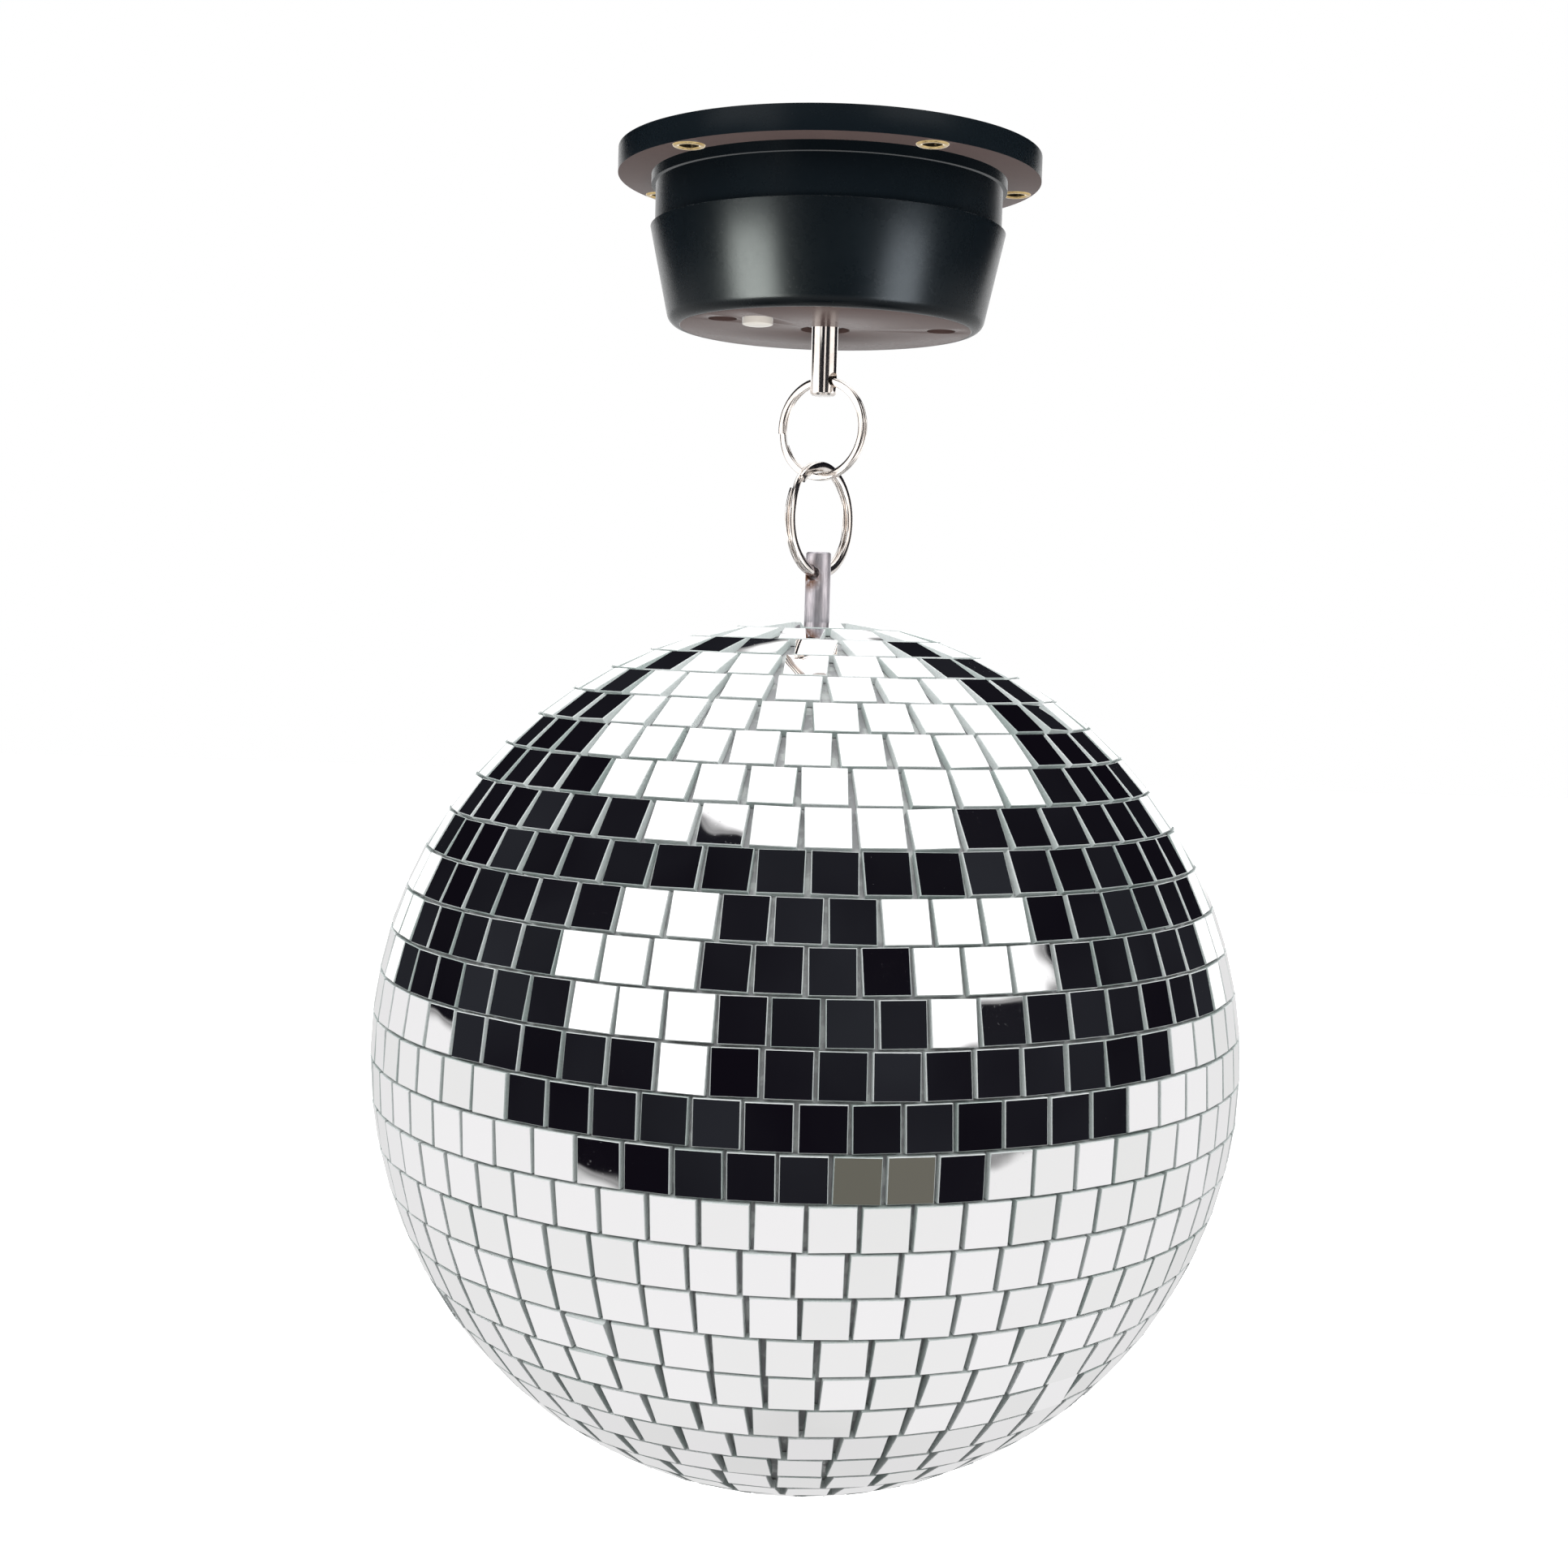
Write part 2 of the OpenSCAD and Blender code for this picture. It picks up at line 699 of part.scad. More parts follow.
// One square mirror: polar is its angle from the top of the ball, turn its angle round it
module mirror_tile(polar, turn) {
    translate([0, 0, ball_z]) rotate([0, 0, turn]) rotate([0, polar, 0])
        translate([-tile_w / 2, -tile_w / 2, tile_back_r]) cube([tile_w, tile_w, tile_t]);
}

// How many mirrors fit in a row, at the row's edge nearer to a pole
function tiles_in_row(row) =
    let (edge_angle = min(row - 1, row_count - row) * row_angle)
    max(1, floor(2 * PI * tile_back_r * sin(edge_angle) / tile_pitch));

// Angle of a row's middle from the top; rows near a pole lie closer to it, to clear each other's corners
function row_polar(row) =
    let (
        middle = (row - 0.5) * row_angle,
        pull = pole_pull * pow(sin(1.5 * row_angle) / sin(middle), 2)
    )
    row == row_count ? 180 : middle + (middle < 90 ? -pull : pull);

// One ring of mirrors; the last row is a single mirror at the bottom of the ball
module mirror_row(row) {
    count = tiles_in_row(row);
    for (i = [0:count - 1]) mirror_tile(row_polar(row), row * row_turn + 360 * i / count);
}

// A node of neighbouring rows; row 1 is left open for the post
module mirror_band(band) {
    first = 2 + (band - 1) * rows_per_band;
    last = min(first + rows_per_band - 1, row_count);
    color(mirror_silver) for (row = [first:last]) mirror_row(row);
}

ceiling_flange();
fixing_eyelets();
cup_housing();
bottom_plate();
plate_screws();
output_shaft();
output_gear();
retaining_clip();
thrust_washer();
shaft_bush();
upper_bush();
gear_frame();
frame_pillars();
idler_axles();
idler_gear_1();
idler_gear_2();
motor_can();
motor_rotor();
rotor_pinion();
battery_tray();
battery_cells();
contact_springs();
contact_plates();
inner_leads();
power_button();
button_spring();
switch_body();
motor_ring();
ball_ring();
hanger_post();
post_collar();
inner_plate();
post_nut();
ball_core_upper();
ball_core_lower();
seam_ring();
for (band = [1:band_count])
    mirror_band(band);
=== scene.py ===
"""Looks for a mirror ball that hangs by two split rings from its ceiling motor."""

import json
import logging
import math
import random
from contextlib import contextmanager
from dataclasses import dataclass, field
from enum import Enum
from typing import Any, Callable, Iterable, Iterator, Sequence

import bpy
from mathutils import Euler, Matrix, Vector

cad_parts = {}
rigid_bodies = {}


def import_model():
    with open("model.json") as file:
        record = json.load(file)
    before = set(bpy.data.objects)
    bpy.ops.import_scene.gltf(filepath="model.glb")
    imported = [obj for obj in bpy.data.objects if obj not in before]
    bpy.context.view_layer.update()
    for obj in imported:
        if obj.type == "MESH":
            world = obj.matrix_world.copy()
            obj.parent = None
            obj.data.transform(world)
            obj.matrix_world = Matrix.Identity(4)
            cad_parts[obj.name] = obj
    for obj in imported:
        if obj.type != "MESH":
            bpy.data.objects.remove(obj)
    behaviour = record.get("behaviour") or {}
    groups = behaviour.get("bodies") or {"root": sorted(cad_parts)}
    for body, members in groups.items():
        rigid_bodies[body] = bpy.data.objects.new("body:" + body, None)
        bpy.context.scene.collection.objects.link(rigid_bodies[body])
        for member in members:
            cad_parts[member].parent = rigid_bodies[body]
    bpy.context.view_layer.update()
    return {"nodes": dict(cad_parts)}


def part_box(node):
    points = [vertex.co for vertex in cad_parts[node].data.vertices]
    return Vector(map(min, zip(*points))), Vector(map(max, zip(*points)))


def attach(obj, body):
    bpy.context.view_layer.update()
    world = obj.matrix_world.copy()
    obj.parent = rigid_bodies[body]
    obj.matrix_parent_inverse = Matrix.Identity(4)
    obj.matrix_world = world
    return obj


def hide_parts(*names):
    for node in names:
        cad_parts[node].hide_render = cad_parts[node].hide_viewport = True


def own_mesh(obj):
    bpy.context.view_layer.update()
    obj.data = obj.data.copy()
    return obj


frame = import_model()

log = logging.getLogger("mirror_ball")
MM = 0.001
Outline = Sequence[tuple[float, float]]
Colour = tuple[float, float, float]
Piece = bpy.types.Object


class Axis(Enum):
    """Directions that a round cutter can point in."""

    UP = (0.0, 0.0, 1.0)
    ALONG_MOTOR_RING = (math.cos(math.radians(33)), -math.sin(math.radians(33)), 0.0)
    ALONG_BALL_RING = (math.sin(math.radians(33)), math.cos(math.radians(33)), 0.0)

    def turn(self) -> Euler:
        """Return the rotation that lays +Z along this axis."""
        return Vector(self.value).to_track_quat("Z", "Y").to_euler()


# Shader maths


def operator(operation: str, swapped: bool = False) -> Callable[["Socket", Any], "Socket"]:
    """Return a Socket method that adds one Math node of two inputs.

    Args:
        operation: The Math node's operation.
        swapped: Whether the other value comes first, as in 1 - mask.

    Returns:
        The method.
    """

    def method(self: "Socket", other: Any) -> "Socket":
        """Return the operation's result on self and other."""
        return self._math(operation, *((other, self) if swapped else (self, other)))

    return method


class Socket:
    """A number or colour on its way through a shader, written with ordinary operators."""

    __add__, __radd__ = operator("ADD"), operator("ADD", True)
    __sub__, __rsub__ = operator("SUBTRACT"), operator("SUBTRACT", True)
    __mul__, __rmul__ = operator("MULTIPLY"), operator("MULTIPLY", True)
    arctan2, largest = operator("ARCTAN2"), operator("MAXIMUM")

    def __init__(self, shader: "Shader", link: Any) -> None:
        """Keep the tree and the output socket, or plain number, that this stands for."""
        self.shader = shader
        self.link = link

    def _math(self, operation: str, *values: Any) -> "Socket":
        """Add one Math node.

        Args:
            operation: The Math node's operation.
            values: Its inputs, as sockets or numbers.

        Returns:
            The node's result.
        """
        return self.shader.node("ShaderNodeMath", {"operation": operation}, dict(enumerate(values)))

    def arcsine(self) -> "Socket":
        """Return the arc sine, in radians."""
        return self._math("ARCSINE", self)

    def sine(self) -> "Socket":
        """Return the sine of an angle in radians."""
        return self._math("SINE", self)

    def cosine(self) -> "Socket":
        """Return the cosine of an angle in radians."""
        return self._math("COSINE", self)

    def size(self) -> "Socket":
        """Return the value without its sign."""
        return self._math("ABSOLUTE", self)

    def step_up(self, start: Any, end: Any) -> "Socket":
        """Return 0 below start and 1 above end, with a smooth rise between."""
        settings = {"interpolation_type": "SMOOTHSTEP"}
        inputs = {"Value": self, "From Min": start, "From Max": end}
        return self.shader.node("ShaderNodeMapRange", settings, inputs)

    def band(self, low: Any, high: Any, blur: float) -> "Socket":
        """Return 1 between low and high and 0 outside, with edges blur wide."""
        return self.step_up(low, low + blur) * (1 - self.step_up(high - blur, high))


class Shader:
    """The node tree of one material or world."""

    def __init__(self, owner: Any) -> None:
        """Start an empty tree on a material or a world."""
        owner.use_nodes = True
        self.tree = owner.node_tree
        self.tree.nodes.clear()

    def node(self, kind: str, settings: dict[str, Any] | None = None,
             inputs: dict[Any, Any] | None = None, output: Any = 0) -> Socket:
        """Add any node.

        Args:
            kind: The node's type.
            settings: Attributes set before the inputs.
            inputs: Values or sockets by input name or number.
            output: The output's name or number to carry on with.

        Returns:
            The chosen output.
        """
        made = self.tree.nodes.new(kind)
        for name, value in (settings or {}).items():
            setattr(made, name, value)
        for name, value in (inputs or {}).items():
            if isinstance(value, Socket):
                self.tree.links.new(value.link, made.inputs[name])
            elif isinstance(value, tuple) and len(value) == 3 and made.inputs[name].type == "RGBA":
                made.inputs[name].default_value = (*value, 1.0)
            else:
                made.inputs[name].default_value = value
        return Socket(self, made.outputs[output] if len(made.outputs) else None)

    def mix(self, factor: Any, first: Any, second: Any) -> Socket:
        """Return a blend of two colours."""
        settings = {"data_type": "RGBA"}
        return self.node("ShaderNodeMix", settings, {0: factor, 6: first, 7: second}, output=2)

    def place(self) -> Socket:
        """Return the point's place in the object."""
        return self.node("ShaderNodeTexCoord", output="Object")

    def noise(self, scale: float, detail: float = 3.0, place: Socket | None = None) -> Socket:
        """Return fractal noise of about 0.5.

        Args:
            scale: Lumps per metre.
            detail: Octaves.
            place: Where it is read; the object's own place if left out.

        Returns:
            The noise's value.
        """
        inputs = {"Vector": place or self.place(), "Scale": scale, "Detail": detail}
        return self.node("ShaderNodeTexNoise", {}, inputs)

    def stretched(self, scale: tuple[float, float, float]) -> Socket:
        """Return the object's place, scaled along each axis."""
        return self.node("ShaderNodeMapping", {}, {"Vector": self.place(), "Scale": scale})

    def bump(self, height: Socket, depth: float) -> Socket:
        """Return a normal bent by a height from 0 to 1 times depth, in metres."""
        return self.node("ShaderNodeBump", {}, {"Height": height, "Distance": depth, "Strength": 1.0})

    def surface(self, inputs: dict[str, Any]) -> None:
        """End the tree in a Principled surface with these inputs."""
        shaded = self.node("ShaderNodeBsdfPrincipled", {}, inputs)
        self.node("ShaderNodeOutputMaterial", {}, {"Surface": shaded})


# Finishes


@dataclass(frozen=True)
class Finish:
    """What every finish has: a name and the record's slot that it belongs to."""

    name: str
    slot: str

    def inputs(self, shader: Shader) -> dict[str, Any]:
        """Return the Principled inputs; each finish says its own."""
        raise NotImplementedError

    def material(self) -> bpy.types.Material:
        """Return the material, made once."""
        found = bpy.data.materials.get(self.name)
        if found:
            return found
        made = bpy.data.materials.new(self.name)
        shader = Shader(made)
        shader.surface(self.inputs(shader))
        return made


@dataclass(frozen=True)
class SatinPlastic(Finish):
    """Moulded plastic with a fine grain and faint handling marks."""

    dark: Colour = (0.004, 0.007, 0.010)
    light: Colour = (0.007, 0.012, 0.016)
    roughness: float = 0.3
    grain: float = 9000.0
    grain_depth: float = 0.00001
    specular_tint: Colour = (1.0, 1.0, 1.0)
    specular: float = 0.5
    ior: float = 1.5

    def inputs(self, shader: Shader) -> dict[str, Any]:
        """Return a mottled colour, uneven gloss and a moulded grain."""
        cloud = shader.noise(60.0, 4.0)
        marks = shader.noise(900.0, 2.0)
        grain = shader.noise(self.grain, 2.0)
        return {
            "Base Color": shader.mix(cloud, self.dark, self.light),
            "Roughness": self.roughness + 0.12 * (cloud - 0.5) + 0.06 * (marks - 0.5),
            "Normal": shader.bump(grain, self.grain_depth),
            "Specular Tint": self.specular_tint,
            "Specular IOR Level": self.specular,
            "IOR": self.ior,
        }


@dataclass(frozen=True)
class PlatedMetal(Finish):
    """Bright plated metal, with fine drawn lines and slight dulling."""

    bright: Colour = (0.88, 0.83, 0.79)
    dull: Colour = (0.72, 0.67, 0.63)
    roughness: float = 0.07
    lines: float = 2500.0
    line_depth: float = 0.0000015

    def inputs(self, shader: Shader) -> dict[str, Any]:
        """Return a clouded plate colour, smeared gloss and drawn lines."""
        cloud = shader.noise(350.0, 4.0)
        drawn = shader.noise(1.0, 2.0, shader.stretched((self.lines, self.lines, self.lines / 12)))
        return {
            "Base Color": shader.mix(cloud.step_up(0.35, 0.75), self.bright, self.dull),
            "Metallic": 1.0,
            "Roughness": self.roughness + 0.1 * (cloud - 0.4).largest(0.0) + 0.03 * drawn,
            "Normal": shader.bump(drawn, self.line_depth),
        }


@dataclass(frozen=True)
class StainedZinc(Finish):
    """Dull zinc plate with a brown stain round the ring's hole."""

    stain_at: tuple[float, float, float] = (0.0, 0.0, 0.0)
    zinc: Colour = (0.66, 0.63, 0.67)
    worn: Colour = (0.46, 0.44, 0.48)
    brown: Colour = (0.16, 0.07, 0.035)
    stain_reach: float = 4.6 * MM

    def inputs(self, shader: Shader) -> dict[str, Any]:
        """Return streaked zinc that browns towards the hole."""
        streak = shader.noise(1.0, 3.0, shader.stretched((2200.0, 2200.0, 260.0)))
        cloud = shader.noise(700.0, 4.0)
        away = shader.node("ShaderNodeVectorMath", {"operation": "DISTANCE"},
                           {0: shader.place(), 1: self.stain_at}, output="Value")
        ragged = away + 0.0028 * (cloud - 0.5)
        stain = 1 - ragged.step_up(0.45 * self.stain_reach, self.stain_reach)
        metal = shader.mix(streak.step_up(0.35, 0.7), self.zinc, self.worn)
        return {
            "Base Color": shader.mix(stain * cloud.step_up(0.3, 0.6), metal, self.brown),
            "Metallic": 1 - 0.75 * stain,
            "Roughness": 0.34 + 0.2 * cloud + 0.2 * stain,
            "Normal": shader.bump(streak + cloud, 0.00001),
        }


@dataclass(frozen=True)
class MirrorFace(Finish):
    """Silvered glass, a little different from square to square."""

    clear: Colour = (0.94, 0.93, 0.94)
    tired: Colour = (0.85, 0.85, 0.845)

    def inputs(self, shader: Shader) -> dict[str, Any]:
        """Return the silver seen through glass, with dust and faint waves."""
        tone = shader.node("ShaderNodeAttribute", {"attribute_name": "tone"}, output="Fac")
        dust = shader.noise(1500.0, 5.0)
        wave = shader.noise(90.0, 1.0)
        return {
            "Base Color": shader.mix(tone, self.clear, self.tired),
            "Metallic": 1.0,
            "Roughness": 0.012 + 0.10 * dust.step_up(0.60, 0.85),
            "Normal": shader.bump(wave, 0.00003),
        }


@dataclass(frozen=True)
class CutGlassEdge(Finish):
    """The frosted, faintly green edge of a cut glass square."""

    pale: Colour = (0.80, 0.82, 0.82)
    green: Colour = (0.36, 0.43, 0.41)

    def inputs(self, shader: Shader) -> dict[str, Any]:
        """Return an edge that varies from frosted to green glass."""
        tone = shader.node("ShaderNodeAttribute", {"attribute_name": "tone"}, output="Fac")
        chips = shader.noise(2600.0, 4.0)
        return {
            "Base Color": shader.mix(0.55 * chips + 0.6 * tone, self.pale, self.green),
            "Roughness": 0.28 + 0.3 * chips,
            "Normal": shader.bump(chips, 0.00006),
        }


@dataclass(frozen=True)
class GluedCore(Finish):
    """The ball's plastic under the mirrors, smeared with clear glue."""

    plastic: Colour = (0.42, 0.42, 0.43)
    glue: Colour = (0.62, 0.64, 0.63)

    def inputs(self, shader: Shader) -> dict[str, Any]:
        """Return plastic with glossy blobs of glue."""
        smear = shader.noise(260.0, 4.0)
        blob = smear.step_up(0.48, 0.62)
        return {
            "Base Color": shader.mix(blob, self.plastic, self.glue),
            "Roughness": 0.6 - 0.35 * blob,
            "Normal": shader.bump(smear, 0.0004),
        }


@dataclass(frozen=True)
class PlainSolid(Finish):
    """A matt or metal finish for the works inside the housing."""

    main: Colour = (0.7, 0.68, 0.6)
    second: Colour = (0.6, 0.58, 0.5)
    metallic: float = 0.0
    roughness: float = 0.45

    def inputs(self, shader: Shader) -> dict[str, Any]:
        """Return two close tones, uneven gloss and a light texture."""
        cloud = shader.noise(400.0, 3.0)
        grain = shader.noise(5000.0, 2.0)
        return {
            "Base Color": shader.mix(cloud, self.main, self.second),
            "Metallic": self.metallic,
            "Roughness": self.roughness + 0.2 * (cloud - 0.5),
            "Normal": shader.bump(grain, 0.00002),
        }


@dataclass(frozen=True)
class PaleFloor(Finish):
    """The plain floor under the ball."""

    def inputs(self, shader: Shader) -> dict[str, Any]:
        """Return near-white with a trace of unevenness."""
        cloud = shader.noise(3.0, 2.0)
        return {
            "Base Color": shader.mix(cloud, (0.93, 0.93, 0.93), (0.90, 0.90, 0.90)),
            "Roughness": 0.9,
            "Emission Color": (1.0, 1.0, 1.0),
            "Emission Strength": 0.62,
        }


HOUSING_BLACK = SatinPlastic("satin_black", "black_plastic", roughness=0.27, specular=0.13)
# Black plate plastic whose brown-grey base colour is a painted reflection of the pale floor; the flange's
# underside shares it.
PLATE_PAINTED_REFLECTION = SatinPlastic(
    "black_plate_painted_reflection", "gloss_plate", dark=(0.112, 0.078, 0.073), light=(0.138, 0.098, 0.091),
    roughness=0.24, grain=2600.0, grain_depth=0.000004, specular_tint=(1.0, 0.84, 0.80), ior=1.08)
CHROME = PlatedMetal("warm_chrome", "chrome_parts", roughness=0.12)
BRASS = PlatedMetal("eyelet_brass", "brass_fittings", bright=(0.72, 0.54, 0.26),
                    dull=(0.46, 0.32, 0.14), roughness=0.16)
SCREW_STEEL = PlatedMetal("blackened_steel", "plain_steel", bright=(0.10, 0.10, 0.11),
                          dull=(0.05, 0.05, 0.055), roughness=0.3)
CREAM = SatinPlastic("cream_plastic", "cream_button", dark=(0.88, 0.84, 0.76), light=(0.93, 0.90, 0.84),
                     roughness=0.25)
MIRROR = MirrorFace("silvered_glass", "mirror_tiles")
GLASS_EDGE = CutGlassEdge("cut_glass_edge", "mirror_tiles")
CORE = GluedCore("glued_core", "ball_plastic")
NYLON = PlainSolid("natural_nylon", "nylon_gears", (0.78, 0.76, 0.66), (0.70, 0.68, 0.58))
STEEL = PlainSolid("plain_steel", "plain_steel", (0.56, 0.57, 0.58), (0.44, 0.45, 0.46), 1.0, 0.32)
INSULATION = PlainSolid("lead_insulation", "lead_insulation", (0.42, 0.03, 0.02), (0.34, 0.02, 0.02),
                        roughness=0.4)


# Modelling tools


def deselect() -> None:
    """Leave object mode with nothing selected."""
    if bpy.context.mode != "OBJECT":
        bpy.ops.object.mode_set(mode="OBJECT")
    bpy.ops.object.select_all(action="DESELECT")


def choose(piece: Piece) -> None:
    """Select one piece alone and make it active."""
    deselect()
    piece.select_set(True)
    bpy.context.view_layer.objects.active = piece


@contextmanager
def editing(piece: Piece, select: str = "SELECT", kind: str = "VERT") -> Iterator[None]:
    """Open one piece in edit mode with all or nothing selected, and leave edit mode after.

    Args:
        piece: The object to edit.
        select: "SELECT" for all of it, "DESELECT" for nothing.
        kind: What is selected: "VERT", "EDGE" or "FACE".
    """
    choose(piece)
    bpy.ops.object.mode_set(mode="EDIT")
    bpy.ops.mesh.select_mode(type=kind)
    bpy.ops.mesh.select_all(action=select)
    yield
    bpy.ops.object.mode_set(mode="OBJECT")


def settle(piece: Piece, name: str) -> Piece:
    """Name a piece and put its place, turn and size into its mesh.

    Args:
        piece: The object to settle.
        name: Its final name.

    Returns:
        The same object.
    """
    choose(piece)
    bpy.ops.object.transform_apply(location=True, rotation=True, scale=True)
    piece.name = piece.data.name = name
    return piece


def modified(piece: Piece, kind: str, **settings: Any) -> None:
    """Add a modifier with these settings and apply it."""
    choose(piece)
    modifier = piece.modifiers.new(kind.lower(), kind)
    for name, value in settings.items():
        setattr(modifier, name, value)
    bpy.ops.object.modifier_apply(modifier=modifier.name)


def soften(piece: Piece, width: float, segments: int = 3, angle: float = 40.0) -> None:
    """Round every edge sharper than angle, then shade smoothly.

    Args:
        piece: The object to finish.
        width: Width of the rounding, in metres.
        segments: Facets across it.
        angle: Least angle between faces that is rounded, in degrees.
    """
    modified(piece, "BEVEL", width=width, segments=segments, limit_method="ANGLE",
             angle_limit=math.radians(angle), harden_normals=False, use_clamp_overlap=True)
    modified(piece, "WELD", merge_threshold=0.002 * MM)
    shade(piece)


def shade(piece: Piece, angle: float = 32.0) -> None:
    """Shade smoothly across edges gentler than angle."""
    choose(piece)
    bpy.ops.object.shade_smooth_by_angle(angle=math.radians(angle))


def turned(name: str, outline: Outline, at: tuple[float, float] = (0.0, 0.0),
           facets: int = 128) -> Piece:
    """Turn an outline into a solid, ring by ring, as on a lathe.

    Args:
        name: The piece's name.
        outline: (radius, height) points in metres; an end of radius 0 closes on the axis, and
            otherwise the last ring joins the first.
        at: The axis's place.
        facets: Sides of each ring.

    Returns:
        The new piece.
    """
    deselect()
    tip = 0.02 * MM
    radii = [max(radius, tip) for radius, _ in outline]
    bpy.ops.mesh.primitive_circle_add(vertices=facets, radius=radii[0], location=(*at, outline[0][1]))
    piece = bpy.context.object
    bpy.ops.object.mode_set(mode="EDIT")
    bpy.ops.mesh.select_all(action="SELECT")
    closed = outline[0][0] > 0 or outline[-1][0] > 0
    heights = [height for _, height in outline]
    if closed:
        radii.append(radii[0])
        heights.append(heights[0])
    for last, radius, low, high in zip(radii, radii[1:], heights, heights[1:]):
        bpy.ops.mesh.extrude_region_move(TRANSFORM_OT_translate={"value": (0, 0, high - low)})
        ratio = radius / last
        bpy.ops.transform.resize(value=(ratio, ratio, 1), center_override=(*at, high))
    bpy.ops.mesh.select_all(action="SELECT")
    bpy.ops.mesh.remove_doubles(threshold=0.001 * MM)
    if not closed:
        bpy.ops.mesh.select_all(action="DESELECT")
        bpy.ops.mesh.select_mode(type="EDGE")
        bpy.ops.mesh.select_non_manifold()
        bpy.ops.mesh.edge_face_add()
        bpy.ops.mesh.select_all(action="SELECT")
    bpy.ops.mesh.normals_make_consistent(inside=False)
    bpy.ops.object.mode_set(mode="OBJECT")
    return settle(piece, name)


def bored(piece: Piece, radius: float, centre: Sequence[float], length: float,
          axis: Axis = Axis.UP, facets: int = 48) -> None:
    """Cut a round hole.

    Args:
        piece: The object to cut.
        radius: The hole's radius.
        centre: The middle of the cut.
        length: How long the cut is.
        axis: Its direction.
        facets: Sides of the hole.
    """
    deselect()
    bpy.ops.mesh.primitive_cylinder_add(vertices=facets, radius=radius, depth=length,
                                        location=centre, rotation=axis.turn())
    cut_away(piece, bpy.context.object)


def cut_away(piece: Piece, cutter: Piece) -> None:
    """Subtract one object from another and delete it."""
    modified(piece, "BOOLEAN", operation="DIFFERENCE", solver="EXACT", object=cutter)
    bpy.data.objects.remove(cutter, do_unlink=True)


def arc(centre: tuple[float, float], radius: float, start: float, end: float, steps: int) -> Outline:
    """Return the points of a round stretch of outline.

    Args:
        centre: (radius, height) of its middle.
        radius: Its own radius.
        start: First angle, from outwards towards up, in degrees.
        end: Last angle.
        steps: Spans between points.

    Returns:
        The points, both ends included.
    """
    angles = [math.radians(start + (end - start) * i / steps) for i in range(steps + 1)]
    return [(centre[0] + radius * math.cos(a), centre[1] + radius * math.sin(a)) for a in angles]


def dress(piece: Piece, finish: Finish, body: str, stands_for: Iterable[str] = ()) -> None:
    """Give a new piece its finish and its place in the frame.

    Args:
        piece: The new piece.
        finish: Its main finish.
        body: The body that it moves with.
        stands_for: CAD nodes that it replaces.
    """
    piece.data.materials.clear()
    piece.data.materials.append(finish.material())
    register(piece, body, stands_for)


def register(piece: Piece, body: str,
             stands_for: Iterable[str] = ()) -> None:
    """Tie a dressed piece to its body and the nodes that it replaces."""
    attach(piece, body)
    names = list(stands_for)
    if names:
        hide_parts(*names)
    log.info("%s rides on %s", piece.name, body)


def repaint(finish: Finish, *nodes: str) -> None:
    """Give CAD nodes whose shape stays a better material."""
    for node in nodes:
        part = frame["nodes"][node]
        part.data.materials.clear()
        part.data.materials.append(finish.material())
        log.info("%s finished in %s", node, finish.name)


def close_ends(piece: Piece) -> None:
    """Cap the two cut ends of a wound wire.

    Args:
        piece: The wire, open at both ends.
    """
    with editing(piece, "DESELECT", "EDGE"):
        bpy.ops.mesh.select_non_manifold()
        bpy.ops.mesh.edge_face_add()
        bpy.ops.mesh.select_all(action="SELECT")
        bpy.ops.mesh.normals_make_consistent(inside=False)


def heights(node: str) -> tuple[float, float]:
    """Return the lowest and highest z of a CAD node."""
    low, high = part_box(node)
    return low[2], high[2]


def middle(node: str) -> Vector:
    """Return the middle of a CAD node's box."""
    low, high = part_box(node)
    return (Vector(low) + Vector(high)) / 2


def reach(node: str) -> float:
    """Return half of a round CAD node's width."""
    low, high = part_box(node)
    return max(high[0] - low[0], high[1] - low[1]) / 2


# The motor's case


